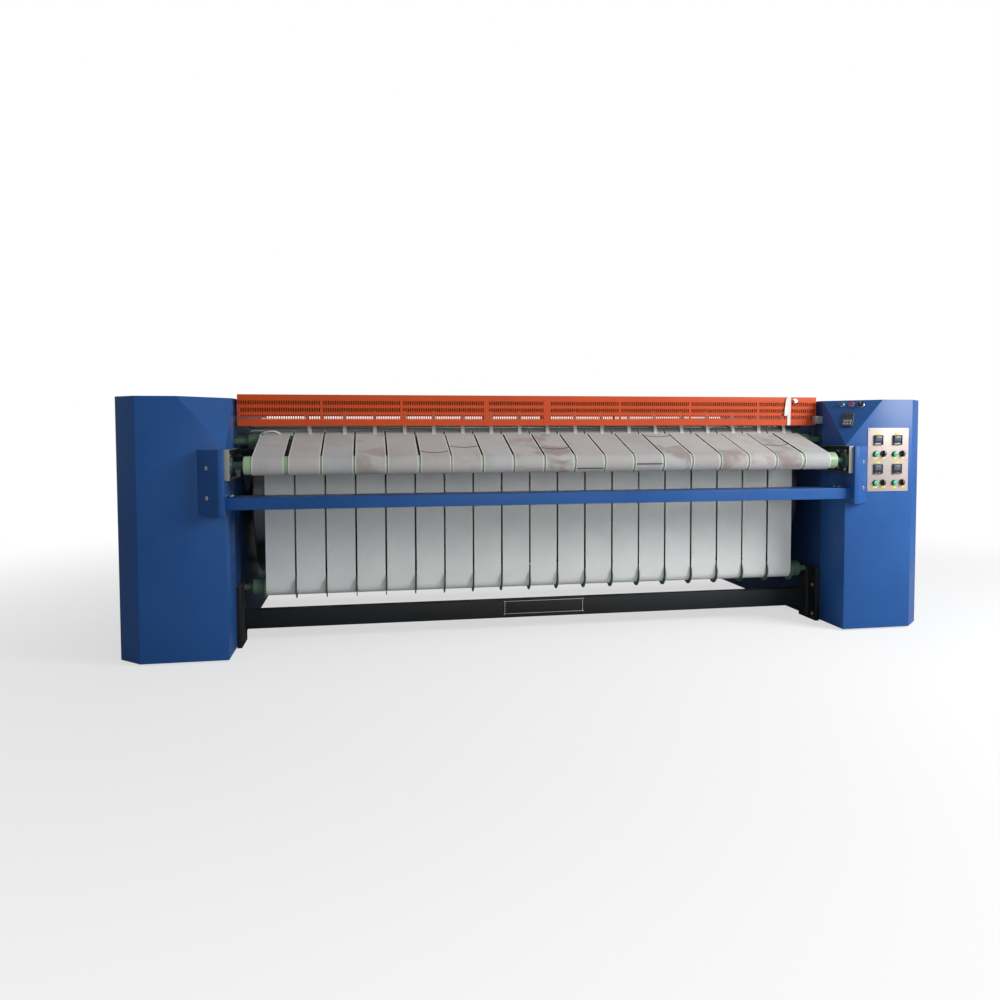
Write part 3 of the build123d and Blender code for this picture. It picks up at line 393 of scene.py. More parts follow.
def thickened(piece, thickness, offset=0.0, **slots):
    """Give a sheet its wall; slots tell which material its rim or its inside takes."""
    wall = piece.modifiers.new("thickness", "SOLIDIFY")
    wall.thickness = thickness
    wall.offset = offset
    for key, value in slots.items():
        setattr(wall, key, value)


def bevelled(bm, geom, width, segments=2, affect="EDGES"):
    """Round edges or corners by a width."""
    bmesh.ops.bevel(bm, geom=geom, offset=width, offset_type="OFFSET", segments=segments,
                    profile=0.5, affect=affect, clamp_overlap=True, material=-1)


def creases(bm, turn):
    """The edges whose two faces turn by more than an angle."""
    return [e for e in bm.edges if len(e.link_faces) == 2 and e.calc_face_angle(0.0) > turn]


def softened(node, width):
    """A CAD node's shape with its facets merged and its edges rounded."""
    bm = bmesh.new()
    bm.from_mesh(nodes[node].data)
    bmesh.ops.remove_doubles(bm, verts=bm.verts, dist=MERGE)
    bmesh.ops.dissolve_limit(bm, angle_limit=math.radians(1), verts=bm.verts, edges=bm.edges)
    bevelled(bm, creases(bm, math.radians(25)), width)
    return bm


def refined(node, material, width):
    """A finished piece with a CAD node's shape and rounded edges, in its place."""
    return finished(softened(node, width), node + "_finished", material, [node], smooth=30)


def block(low, high):
    """A box between two corners, as a bmesh of its own."""
    size = [b - a for a, b in zip(low, high)]
    middle = [(a + b) / 2 for a, b in zip(low, high)]
    bm = bmesh.new()
    place = Matrix.Translation(middle) @ Matrix.Diagonal((*size, 1.0))
    bmesh.ops.create_cube(bm, size=1.0, matrix=place)
    outwards(bm)
    return bm


def joined(bm, other, place):
    """Add another form to a bmesh, placed as a whole."""
    bmesh.ops.transform(other, matrix=place, verts=other.verts)
    mesh = bpy.data.meshes.new("joined")
    other.to_mesh(mesh)
    other.free()
    bm.from_mesh(mesh)
    bpy.data.meshes.remove(mesh)


def rounded_block(bm, low, high, radius, place=Matrix(), segments=2):
    """Add a box with rounded edges, placed as a whole."""
    other = block(low, high)
    bevelled(other, list(other.edges), radius, segments)
    joined(bm, other, place)


def spun(bm, profile, place, steps):
    """Add a closed turned form: a profile of (along, radius) about X, placed as a whole."""
    other = bmesh.new()
    verts = [other.verts.new((along, 0.0, radius)) for along, radius in profile]
    edges = [other.edges.new(pair) for pair in zip(verts, verts[1:])]
    bmesh.ops.spin(other, geom=verts + edges, cent=(0, 0, 0), axis=(1, 0, 0),
                   angle=math.tau, steps=steps, use_merge=True)
    bmesh.ops.remove_doubles(other, verts=other.verts, dist=MERGE)
    outwards(other)
    joined(bm, other, place)


def both_ways(half):
    """The whole profile of a form whose ends are alike, from its right half."""
    return [(-along, level) for along, level in reversed(half[1:])] + half


def along_x(axis):
    """Puts a turned form on a roller's axis."""
    return Matrix.Translation((0, *axis))


def swept(bm, row, moves, order=0):
    """Extrude a row of edges by a list of moves; gives each row's vertices in order."""
    verts = [bm.verts.new(point) for point in row]
    edges = [bm.edges.new(pair) for pair in zip(verts, verts[1:])]
    rows = [verts]
    for move in moves:
        made = bmesh.ops.extrude_edge_only(bm, edges=edges)["geom"]
        new = [g for g in made if isinstance(g, bmesh.types.BMVert)]
        bmesh.ops.transform(bm, matrix=move, verts=new)
        new.sort(key=lambda v: v.co[order])
        edges = [bm.edges.get(pair) for pair in zip(new, new[1:])]
        rows.append(new)
    return rows


def turn_about(axis, angle):
    """A turn about a roller's axis, along X."""
    centre = Vector((0, *axis))
    return Matrix.Translation(centre) @ Matrix.Rotation(angle, 4, "X") @ Matrix.Translation(-centre)


# ---- camera
EYE = Vector((-0.9727, -4.9269, 1.1275))
YAW, PITCH, ROLL = math.radians(10.3752), math.radians(2.6784), math.radians(-0.1347)
FOCAL_PIXELS = 815.165
PRINCIPAL = (517.304, 469.644)
IMAGE_SIDE = 1000
SENSOR = 36.0


def make_camera():
    """The camera that took the photo: its place, its turn and its lens."""
    ahead = Vector((math.sin(YAW) * math.cos(PITCH), math.cos(YAW) * math.cos(PITCH),
                    -math.sin(PITCH)))
    level = Vector((math.cos(YAW), -math.sin(YAW), 0))
    lifted = level.cross(ahead)
    right = math.cos(ROLL) * level + math.sin(ROLL) * lifted
    up = -math.sin(ROLL) * level + math.cos(ROLL) * lifted
    data = bpy.data.cameras.new("camera")
    data.sensor_width = SENSOR
    data.lens = FOCAL_PIXELS / IMAGE_SIDE * SENSOR
    data.shift_x = (IMAGE_SIDE / 2 - PRINCIPAL[0]) / IMAGE_SIDE
    data.shift_y = (PRINCIPAL[1] - IMAGE_SIDE / 2) / IMAGE_SIDE
    data.clip_start, data.clip_end = 0.1, 100.0
    camera = shown("camera", data)
    axes = Matrix((right, up, -ahead)).transposed().to_4x4()
    camera.matrix_world = Matrix.Translation(EYE) @ axes
    scene.camera = camera


make_camera()

# ---- belts


def leaving_and_meeting(first, second):
    """The angles at which a belt leaves one wheel and meets the next."""
    (axis_a, radius_a, turn_a), (axis_b, radius_b, turn_b) = first, second
    across, up = axis_b[0] - axis_a[0], axis_b[1] - axis_a[1]
    signed = turn_a * radius_a - turn_b * radius_b
    leave = math.atan2(up, across) + turn_a * math.acos(turn_a * signed / math.hypot(across, up))
    return leave, leave if turn_a == turn_b else leave + math.pi


def rim(axis, radius, angle):
    """A point at an angle and a distance round a roller's axis."""
    return Vector((0, axis[0] + radius * math.cos(angle), axis[1] + radius * math.sin(angle)))


def belt_moves(wheels, arc_step, run_step):
    """The first point of a belt's middle line and the moves that take it round its wheels."""
    spans = [leaving_and_meeting(a, b) for a, b in zip(wheels, wheels[1:] + wheels[:1])]
    moves = []
    for index, (axis, radius, _) in enumerate(wheels):
        leave, meet = spans[index]
        following = (index + 1) % len(wheels)
        next_axis, next_radius, next_turn = wheels[following]
        run = rim(next_axis, next_radius, meet) - rim(axis, radius, leave)
        count = math.ceil(run.length / run_step)
        moves += [Matrix.Translation(run / count)] * count
        wrap = (meet - spans[following][0]) * next_turn % math.tau
        count = math.ceil(wrap * next_radius / arc_step)
        moves += [turn_about(next_axis, -next_turn * wrap / count)] * count
    return rim(wheels[0][0], wheels[0][1], spans[0][0]), moves


def laid_out(one, moves):
    """One form repeated at each of a list of moves; gives the bmesh and each copy's faces."""
    pattern = bpy.data.meshes.new("pattern")
    one.to_mesh(pattern)
    one.free()
    bm = bmesh.new()
    copies = []
    for move in moves:
        first_vert, first_face = len(bm.verts), len(bm.faces)
        bm.from_mesh(pattern)
        bm.verts.ensure_lookup_table()
        bmesh.ops.transform(bm, matrix=move, verts=bm.verts[first_vert:])
        copies.append(range(first_face, len(bm.faces)))
    bpy.data.meshes.remove(pattern)
    bm.faces.ensure_lookup_table()
    return bm, copies


def one_belt(wheels, arc_step):
    """One endless belt with its map, as a sheet without thickness."""
    lift = BELT_GAP + BELT_THICK / 2
    lifted = [(axis, radius + lift, turn) for axis, radius, turn in wheels]
    start, moves = belt_moves(lifted, arc_step, run_step=0.08)
    one = bmesh.new()
    map_layer = one.loops.layers.uv.new("belt")
    one.loops.layers.float_color.new("tint")
    rows = swept(one, [start + Vector((BELT_WIDTH * k / 4, 0, 0)) for k in range(5)], moves)
    length, place = 0.0, {}
    for before, verts in zip([rows[0]] + rows, rows):
        length += (verts[0].co - before[0].co).length
        for v in verts:
            place[v] = (v.co.x, length)
    for face in one.faces:
        for loop in face.loops:
            loop[map_layer].uv = place[loop.vert]
    bmesh.ops.remove_doubles(one, verts=one.verts, dist=0.0001)
    outwards(one)
    return one


def belt_row(name, node, wheels, material, arc_step, slack, tints, starts, stains):
    """A row of endless belts, each a little off its place and its shade."""
    one = one_belt(wheels, arc_step)
    shifts = [Matrix.Translation((left + rng.uniform(-slack, slack), 0, 0)) for left in starts]
    bm, copies = laid_out(one, shifts)
    tint_layer = bm.loops.layers.float_color["tint"]
    for index, faces in enumerate(copies):
        shade = rng.uniform(*tints)
        warm = rng.uniform(-0.25, 0.25) * (tints[1] - tints[0])
        tint = (shade + warm, shade, shade - warm, stains.get(index, STAIN_USUAL))
        for number in faces:
            for loop in bm.faces[number].loops:
                loop[tint_layer] = tint
    # The belts' edge faces take the dark second material, painted shade on the side of each belt.
    belts = finished(bm, name, [material, PAINTED_SHADOW_DARK], [node], smooth=40)
    thickened(belts, BELT_THICK, material_offset_rim=1)


FEED_LOOP = [(FEED, ROLLER_RADIUS, 1), (TABLE, TABLE_RADIUS, 1)]
IRONING_LOOP = [(LOWER, ROLLER_RADIUS, 1), (ENTRY, ROLLER_RADIUS, 1), (DRUM, DRUM_RADIUS, -1),
                (EXIT, ROLLER_RADIUS, 1), (RETURN, ROLLER_RADIUS, 1)]
STAIN_USUAL = 0.25
TABLE_STAINS = {3: 0.7, 8: 1.0, 9: 1.0, 10: 0.8, 13: 0.9, 15: 0.9, 16: 0.7, 17: 1.0}
TABLE_STARTS = [BELT_STARTS[0] - 0.011] + BELT_STARTS[1:-1] + [BELT_STARTS[-1] + 0.005]
belt_row("feed_belt_row", "feed_belts", FEED_LOOP, BELT_TABLE, arc_step=0.006, slack=0.0018,
         tints=(0.92, 1.04), starts=TABLE_STARTS, stains=TABLE_STAINS)
belt_row("ironing_belt_row", "ironing_belts", IRONING_LOOP, BELT_PRESS, arc_step=0.018,
         slack=0.0008, tints=(0.985, 1.01), starts=BELT_STARTS, stains={})

# Seams where a belt's ends are joined: (belt, distance behind the front, sag of the curve)
# on the table, and (belt, angle in degrees) on the front roller.
TABLE_SEAMS = [(5, 0.017, 0.026), (6, 0.094, 0.024), (9, 0.061, 0.024), (13, 0.252, 0.02),
               (17, 0.095, 0.024)]
ROLL_SEAMS = [(10, 212), (12, 186)]
SEAM_LIFT = 0.0003
SEAM_HALF = 0.0045
SEAM_STEPS = 14
TOP_LEAVE, TOP_MEET = leaving_and_meeting(*FEED_LOOP)
TABLE_FRONT = rim(FEED, ROLLER_RADIUS + BELT_OUT, TOP_LEAVE)
TABLE_REAR = rim(TABLE, TABLE_RADIUS + BELT_OUT, TOP_MEET)


def on_table(x, back, lift):
    """A point on the feed belts' upper face, from its distance behind the cabinets' front."""
    share = (FRONT + back - TABLE_FRONT.y) / (TABLE_REAR.y - TABLE_FRONT.y)
    return Vector((x, 0, lift)) + TABLE_FRONT.lerp(TABLE_REAR, share)


def make_seams():
    """Belt joints as dark bands of painted shadow under their lifted lapped ends: bowed lines on
    the table, straight ones on the front roller.
    """
    bm = bmesh.new()
    for belt, back, sag in TABLE_SEAMS:
        line = []
        for k in range(SEAM_STEPS + 1):
            x = BELT_STARTS[belt] + BELT_WIDTH * (0.02 + 0.96 * k / SEAM_STEPS)
            bow = back - sag * (1 - (2 * k / SEAM_STEPS - 1) ** 2)
            line.append(on_table(x, bow, SEAM_LIFT))
        row = [line[0] + Vector((0, shift, shift * 0.3)) for shift in (-SEAM_HALF, SEAM_HALF)]
        swept(bm, row, [Matrix.Translation(b - a) for a, b in zip(line, line[1:])], order=1)
    for belt, angle in ROLL_SEAMS:
        start = rim(FEED, ROLLER_RADIUS + BELT_OUT + SEAM_LIFT, math.radians(angle))
        xs = [BELT_STARTS[belt] + 0.004 + 0.142 * k / 4 for k in range(5)]
        swept(bm, [start + Vector((x, 0, 0)) for x in xs], [turn_about(FEED, 0.03)] * 5)
    outwards(bm)
    thickened(finished(bm, "belt_seams", PAINTED_SHADOW_DARK), 0.0006)


make_seams()

# ---- drum and rollers
BLOCK_END = 1.698


def roller(node, axis, radius=ROLLER_RADIUS, shaft_end=BLOCK_END, half=ROLLER_HALF,
           shell=ROLLER_GREEN, shaft=ROLLER_GREEN):
    """A belt roller with rounded rims, plain heads and stepped shaft ends."""
    bm = bmesh.new()
    right = [(0.0, radius), (half - 0.003, radius), (half, radius - 0.003), (half, radius - 0.008),
             (half - 0.004, radius - 0.01), (half - 0.004, SHAFT_RADIUS + 0.012),
             (half, SHAFT_RADIUS + 0.01), (half, SHAFT_RADIUS), (shaft_end - 0.001, SHAFT_RADIUS),
             (shaft_end, SHAFT_RADIUS - 0.001), (shaft_end, 0.0)]
    spun(bm, both_ways(right), along_x(axis), steps=48)
    piece = finished(bm, node + "_turned", [shell, shaft], [node], node, smooth=30)
    for face in piece.data.polygons:
        if math.hypot(face.center.y - axis[0], face.center.z - axis[1]) < SHAFT_RADIUS + 0.0005:
            face.material_index = 1


def make_discs():
    """The lower roller's belt-parting discs."""
    one = bmesh.new()
    disc = [(-0.002, ROLLER_RADIUS), (-0.002, 0.068), (-0.001, 0.069), (0.001, 0.069),
            (0.002, 0.068), (0.002, ROLLER_RADIUS)]
    spun(one, disc, along_x(LOWER), steps=64)
    middles = [(k - BELT_COUNT / 2) * BELT_PITCH for k in range(BELT_COUNT + 1)]
    bm, _ = laid_out(one, [Matrix.Translation((x, 0, 0)) for x in middles])
    finished(bm, "belt_discs", ROLLER_GREEN, body="lower_roller", smooth=30)


def make_drum():
    """The drum's polished shell, its set-in heads with their covers, and its journals."""
    bm = bmesh.new()
    radius, half, end = DRUM_RADIUS, ROLLER_HALF, 1.734
    right = [(0.0, radius), (half - 0.004, radius), (half, radius - 0.004), (half, radius - 0.016),
             (half - 0.006, radius - 0.018), (half - 0.006, 0.12), (half, 0.117), (half, 0.055),
             (half + 0.01, 0.05), (end - 0.002, 0.05), (end, 0.048), (end, 0.0)]
    spun(bm, both_ways(right), along_x(DRUM), steps=160)
    finished(bm, "drum_shell", DRUM_STEEL, ["drum"], "drum", smooth=30)


# The feed roller's shaft ends take the dark bearing green as painted shade.
roller("feed_roller", FEED, shaft_end=1.649, half=1.566, shell=ROLLER_PALE,
       shaft=BEARING_GREEN)
roller("table_roller", TABLE, radius=TABLE_RADIUS)
roller("entry_roller", ENTRY)
roller("exit_roller", EXIT)
roller("return_roller", RETURN)
roller("lower_roller", LOWER, shaft_end=1.653)
make_discs()
make_drum()

# ---- places taken from the part
FACET_ORIGIN = Vector((BAY_HALF, FRONT + 0.244, CABINET_TOP))
FACET_X = Vector((0.67297, -0.739668, 0.0))
FACET_Y = Vector((0.401563, 0.365357, 0.839841))
FACET_OUT = FACET_X.cross(FACET_Y)
PANEL_Y = FRONT - 0.003
ZONES = [(x, z) for z in (1.075, 0.912) for x in (1.85, 1.969)]
BUTTON_AT = (-0.016, -0.079)
KNOB_AT = (0.033, -0.077)
START_AT, STOP_AT, SWITCH_AT = (0.114, -0.031), (0.168, -0.032), (0.218, -0.031)
KEYPAD_AT = (0.166, -0.138)
BRACKET_FACE = 1.644


def frame_of(origin, out, up):
    """The placing of a form whose X looks outwards and whose Z looks up."""
    side = up.cross(out)
    axes = Matrix((out, side, up)).transposed().to_4x4()
    return Matrix.Translation(origin) @ axes


def to_front(x, y, z):
    """A place whose X looks to the front."""
    return frame_of(Vector((x, y, z)), FORWARDS, UP)


def to_side(side, way, x, y, z):
    """A place on one side, whose X looks outwards (way 1) or to the middle (way -1)."""
    return frame_of(Vector((side * x, y, z)), Vector((side * way, 0, 0)), UP)


def on_panel(x, z):
    """A place on the control panel's face, X outwards."""
    return to_front(x, PANEL_Y, z)


def on_facet(u, v, lift=0.0):
    """A place on the right cabinet's sloping facet, X outwards."""
    at = FACET_ORIGIN + u * FACET_X + v * FACET_Y + lift * FACET_OUT
    return frame_of(at, FACET_OUT, FACET_Y)


def hex_bolt(bm, place, radius=0.007):
    """A hexagon head on a washer, X outwards."""
    height, washer, base = 0.005, 0.011, 0.0014
    spun(bm, [(0.0, 0.0), (0.0, washer - 0.0004), (0.0004, washer), (0.001, washer),
              (base, washer - 0.0004), (base, 0.0)], place, steps=20)
    head = bmesh.new()
    bmesh.ops.create_cone(head, segments=6, radius1=radius, radius2=radius, depth=height,
                          cap_ends=True)
    bevelled(head, [e for e in head.edges if all(v.co.z > 0 for v in e.verts)], 0.0009)
    lay = Matrix.Rotation(math.radians(90), 4, "Y")
    joined(bm, head, place @ Matrix.Translation((base + height / 2, 0, 0)) @ lay)


def pan_screw(bm, place, radius):
    """A domed screw head with a socket, X outwards."""
    spun(bm, [(0.0, 0.0), (0.0, radius), (0.0008, radius), (0.0018, radius * 0.72),
              (0.0022, radius * 0.42), (0.001, radius * 0.36), (0.001, 0.0)], place, steps=16)


# ---- sheet pieces and frames
for stem, material, width in (
    ("front_cover", CABINET_BLUE, 0.0009), ("top_cover", CABINET_BLUE, 0.0009),
    ("side_panels", CABINET_BLUE, 0.0007), ("rear_cover", CABINET_BLUE, 0.0007),
    ("arm_cover", CABINET_BLUE, 0.0012), ("inner_wall", INNER_SHADE_BLUE, 0.0006),
    ("side_frame", FRAME_BLACK, 0.0015), ("post", FRAME_BLACK, 0.0018),
):
    for side in ("left", "right"):
        refined(f"{side}_{stem}", material, width)
for node, material, width in (
    ("front_rail", CABINET_BLUE, 0.0012), ("front_beam", FRAME_BLACK, 0.003),
    ("rear_beam", FRAME_BLACK, 0.003), ("table_bed", FRAME_BLACK, 0.0008),
    ("exit_chute", CHUTE_STEEL, 0.0006), ("tape_bar", BAR_GREY, 0.0008),
    ("shaft_bearings", BEARING_GREEN, 0.003), ("drum_bearings", BEARING_GREEN, 0.005),
    ("levelling_feet", FOOT_RUBBER, 0.0012), ("guard_pivots", INNER_SHADE_BLUE, 0.0006),
    ("limit_switch", SWITCH_GREY, 0.0015), ("tape_rod", ROD_STEEL, 0.0006),
):
    refined(node, material, width)


def make_brackets():
    """The roller brackets, with bare metal showing on their front and top edges."""
    for side in ("left", "right"):
        piece = refined(f"{side}_roller_bracket", BRACKET_BLACK, 0.001)
        piece.data.materials.append(BARE_EDGE)
        for face in piece.data.polygons:
            if face.normal.y < -0.85 or face.normal.z > 0.85:
                face.material_index = 1


def make_feed_bearings():
    """Rhombus flange bearings, each with a raised housing, a grease nipple and two bolts."""
    castings, bolts = softened("feed_roller_bearings", 0.0014), bmesh.new()
    for side in (1, -1):
        place = to_side(side, -1, BRACKET_FACE - 0.01, *FEED)
        spun(castings, [(0.0, 0.02), (0.0, 0.043), (0.004, 0.042), (0.009, 0.037),
                        (0.016, 0.034), (0.017, 0.031), (0.017, 0.0195), (0.012, 0.019)],
             place, steps=40)
        lean = Matrix.Rotation(math.radians(-60), 4, "Y")
        spun(castings, [(-0.004, 0.0), (-0.004, 0.0035), (0.004, 0.0035), (0.006, 0.002),
                        (0.008, 0.002), (0.008, 0.0)],
             place @ Matrix.Translation((0.01, 0, 0.036)) @ lean, steps=12)
        for up in (0.049, -0.049):
            hex_bolt(bolts, place @ Matrix.Translation((0.0, 0, up)), radius=0.0065)
    finished(castings, "feed_bearings_cast", BEARING_GREEN,
             ["feed_roller_bearings"], smooth=30)
    finished(bolts, "feed_bearing_bolts", BOLT_STEEL, smooth=30)


# Each as (distance behind the front, height).
BRACKET_BOLTS = [(0.31, 0.03), (0.31, 0.205), (0.06, 0.926), (0.235, 0.926), (0.06, 1.012),
                 (0.235, 1.012)]
WALL_SCREWS = [(0.56, 1.08), (0.56, 1.18), (0.455, 1.242)]


def make_bolts():
    """The bolts of the rail, the arm covers, the posts and brackets, and the walls' screws."""
    bm = bmesh.new()
    flat, width, proud, share = 0.025, 0.137, 0.095, 0.55
    for side in (1, -1):
        for depth in (0.036, 0.084):
            hex_bolt(bm, frame_of(Vector((side * 1.638, FRONT + depth, 0.811)), UP, -FORWARDS))
        out = Vector((side * proud, flat - width, 0)).normalized()
        for level in (0.81, 0.954):
            at = Vector((side * (ARM_HALF + flat + share * (width - flat)),
                         FRONT - proud * (1 - share), level))
            hex_bolt(bm, frame_of(at, out, UP), radius=0.0065)
        for back, level in BRACKET_BOLTS:
            hex_bolt(bm, to_side(side, -1, BRACKET_FACE, *spot(back, level)))
        for back, level in WALL_SCREWS:
            pan_screw(bm, to_side(side, -1, BAY_HALF, *spot(back, level)), 0.006)
    finished(bm, "cover_bolts_turned", BOLT_STEEL, ["cover_bolts"], smooth=30)


def recess_side_panels():
    """The side panels lie a little inside the covers' edges, under their screws."""
    for side in ("left", "right"):
        for vert in scene.objects[f"{side}_side_panels_finished"].data.vertices:
            vert.co.x = math.copysign(min(abs(vert.co.x), HALF_LENGTH - 0.0012), vert.co.x)


def make_cabinet_hardware():
    """Screws on the cabinets' outer sides, and slanted blades in the louvres."""
    screws, blades = bmesh.new(), bmesh.new()
    front, back = FRONT + 0.246, BACK - 0.0025
    middle, quarter = (front + back) / 2, (back - front) / 4
    slant = Matrix.Rotation(math.radians(35), 4, "Y")
    for side in (1, -1):
        for centre in (middle - quarter, middle + quarter):
            for shift in (-0.26, 0.26):
                for level in (0.09, 0.62, 1.21):
                    place = to_side(side, 1, HALF_LENGTH - 0.0023, centre + shift, level)
                    pan_screw(screws, place, 0.006)
            for row in range(4):
                level = 0.32 + (row - 1.5) * 0.03
                place = to_side(side, 1, HALF_LENGTH - 0.006, centre, level)
                rounded_block(blades, (-0.0005, -0.134, -0.009), (0.0005, 0.134, 0.009), 0.0003,
                              place @ slant)
    finished(screws, "side_panel_screws", BOLT_STEEL, smooth=30)
    finished(blades, "louvre_blades", CABINET_BLUE, smooth=30)


make_brackets()
make_feed_bearings()
make_bolts()
recess_side_panels()
make_cabinet_hardware()

# ---- hand guard
GUARD_HALF = 1.64
GUARD_FACE = FRONT + 0.292
GUARD_DEPTH = 0.11
GUARD_LOW, GUARD_HIGH = 1.16, 1.325
GUARD_SHEET = 0.002
SLOT_PITCH = 0.012
SLOT_COLUMNS = 273
SLOT_EDGE = 0.0028
SLOT_BAND = 0.028
BACK_OPENING = 0.02
CLOSED_COLUMNS = {35, 70, 108, 109, 136, 137, 138, 172, 207, 242}
FRONT_BANDS = [0.032, SLOT_BAND, 0.01, SLOT_BAND, 0.01, SLOT_BAND, 0.029]
BACK_BANDS = [0.029, SLOT_BAND, 0.01, SLOT_BAND, 0.01, 0.008, BACK_OPENING, 0.032]


def size_of(face):
    """The width and the height of one of the guard's faces."""
    xs = [v.co.x for v in face.verts]
    zs = [v.co.z for v in face.verts]
    return max(xs) - min(xs), max(zs) - min(zs)


def is_slot(face):
    """True for the inner face of a slot cell."""
    wide, tall = size_of(face)
    return (len(face.verts) == 8 and abs(wide - SLOT_PITCH + 2 * SLOT_EDGE) < 0.0003
            and abs(tall - SLOT_BAND + 2 * SLOT_EDGE) < 0.0005)


def make_guard():
    """The guard: three rows of slots in its front, long openings low in its back."""
    bm = bmesh.new()
    half = SLOT_PITCH * SLOT_COLUMNS / 2
    xs = [-GUARD_HALF] + [-half + k * SLOT_PITCH for k in range(SLOT_COLUMNS + 1)] + [GUARD_HALF]
    moves = ([(0, 0, band) for band in FRONT_BANDS] + [(0, GUARD_DEPTH, 0)]
             + [(0, 0, -band) for band in BACK_BANDS])
    swept(bm, [Vector((x, GUARD_FACE, GUARD_LOW)) for x in xs],
          [Matrix.Translation(move) for move in moves])
    outwards(bm)
    bm.faces.ensure_lookup_table()
    if max(bm.faces, key=lambda f: f.calc_center_median().z).normal.z < 0:
        bmesh.ops.reverse_faces(bm, faces=bm.faces)
    folds = creases(bm, 1.0)
    cells, back_openings = [], []
    for face in bm.faces:
        centre = face.calc_center_median()
        wide, tall = size_of(face)
        column = int((centre.x + half) / SLOT_PITCH)
        if abs(wide - SLOT_PITCH) > 0.0001 or column in CLOSED_COLUMNS:
            continue
        behind = centre.y > GUARD_FACE + GUARD_DEPTH / 2
        if behind and abs(tall - BACK_OPENING) < 0.0001:
            back_openings.append(face)
        if not behind and abs(tall - SLOT_BAND) < 0.0001:
            cells.append(face)
    bmesh.ops.delete(bm, geom=back_openings, context="FACES")
    bevelled(bm, [e for e in folds if e.is_valid], 0.004, segments=3)
    cells = [f for f in cells if f.is_valid]
    bmesh.ops.inset_individual(bm, faces=cells, thickness=SLOT_EDGE, depth=0.0,
                               use_even_offset=True)
    corners = {v for f in cells for v in f.verts}
    bevelled(bm, list(corners), 0.0018, segments=1, affect="VERTICES")
    bmesh.ops.delete(bm, geom=[f for f in bm.faces if is_slot(f)], context="FACES")
    # The sheet's inside takes the second, darker material, painted shade.
    guard = finished(bm, "hand_guard_slotted", [GUARD_ORANGE, GUARD_INSIDE_SHADE],
                     ["hand_guard"], "hand_guard", smooth=30)
    thickened(guard, GUARD_SHEET, -1.0, material_offset=1)


def make_guard_fittings():
    """The guard's end plates, its joint strips and the hook for the loose tape."""
    plates, hook = bmesh.new(), bmesh.new()
    for side in (1, -1):
        middle = side * (GUARD_HALF - 0.001)
        rounded_block(plates, (middle - 0.001, GUARD_FACE + 0.0022, GUARD_HIGH - 0.07),
                      (middle + 0.001, GUARD_FACE + GUARD_DEPTH - 0.0022, GUARD_HIGH - 0.0022),
                      0.0005)
    for x in (-0.337, -0.002):
        rounded_block(plates, (x - 0.009, GUARD_FACE - 0.0008, GUARD_LOW + 0.002),
                      (x - 0.0075, GUARD_FACE + 0.0004, GUARD_HIGH - 0.004), 0.0003)
    spun(hook, [(0.0, 0.0), (0.0, 0.013), (0.0015, 0.013), (0.002, 0.005), (0.011, 0.0045),
                (0.0115, 0.01), (0.013, 0.0115), (0.0145, 0.01), (0.0145, 0.0)],
         to_front(1.504, GUARD_FACE, 1.303), steps=28)
    finished(plates, "guard_end_plates", GUARD_ORANGE, body="hand_guard", smooth=30)
    finished(hook, "tape_hook", CHROME, body="hand_guard")


make_guard()
make_guard_fittings()

# ---- tapes
TAPE_HALF_WIDTH = 0.01
BAR_Y = FRONT + 0.374
TAPE_RIDE = ROLLER_RADIUS + BELT_OUT + 0.0012
CURL = [(-1.527, 1.1115), (-1.512, 1.1235), (-1.49, 1.13), (-1.466, 1.133),
        (-1.444, 1.1295), (-1.429, 1.121), (-1.42, 1.1185)]


def strap(bm, points, middle, width, lean=0.0):
    """A flat strap along (y, z) points, whose start lies sideways by the lean."""
    count = len(points) - 1
    row = [Vector((middle + lean + s * width, *points[0])) for s in (-1, 0, 1)]
    swept(bm, row, [Matrix.Translation((-lean / count, b[0] - a[0], b[1] - a[1]))
                    for a, b in zip(points, points[1:])])


def smooth_path(points, steps):
    """A smooth curve through (y, z) points."""
    path = []
    padded = [points[0]] + list(points) + [points[-1]]
    for a, b, c, d in zip(padded, padded[1:], padded[2:], padded[3:]):
        for k in range(steps):
            t = k / steps
            path.append(tuple(
                0.5 * (2 * q + (r - p) * t + (2 * p - 5 * q + 4 * r - s) * t * t
                       + (3 * q - p - 3 * r + s) * t ** 3)
                for p, q, r, s in zip(a, b, c, d)
            ))
    path.append(points[-1])
    return path


def tape_line(dip):
    """From over the bar, straight down, onto the front of the belts on the entry roller."""
    top = [(BAR_Y + 0.018, 1.2385), (BAR_Y + 0.008, 1.2395), (BAR_Y - 0.0015, 1.2375),
           (BAR_Y - 0.004, 1.222), (BAR_Y - 0.01 - dip, 1.19), (BAR_Y - 0.018 - dip, 1.16)]
    against = [rim(ENTRY, TAPE_RIDE, math.radians(degrees)) for degrees in (140, 152, 164, 176)]
    return smooth_path(top + [(at.y, at.z) for at in against], 4)


def cloth(bm, name, node, body, thickness):
    """Straps as one finished piece of cotton, in a CAD node's place."""
    outwards(bm)
    piece = finished(bm, name, TAPE_COTTON, [node], body, smooth=60)
    thickened(piece, thickness)


def make_tapes():
    """The hanging guide tapes, the second one askew, and the first one curled on its belt."""
    bm = bmesh.new()
    for index, middle in enumerate(TAPE_MIDDLES[1:], 1):
        lean = rng.uniform(-0.004, 0.004) if index != 1 else -0.062
        strap(bm, tape_line(rng.uniform(-0.001, 0.002)), middle, TAPE_HALF_WIDTH, lean)
    path = smooth_path(CURL, 4)
    front = TABLE[0] - 0.022
    row = [Vector((path[0][0], front + 0.01 * s, path[0][1] + 0.0035 * s)) for s in (-1, 0, 1)]
    moves = [Matrix.Translation((b[0] - a[0], 0.0009, b[1] - a[1])) for a, b in zip(path, path[1:])]
    swept(bm, row, moves, order=1)
    cloth(bm, "guide_tape_row", "guide_tapes", "machine", 0.0011)


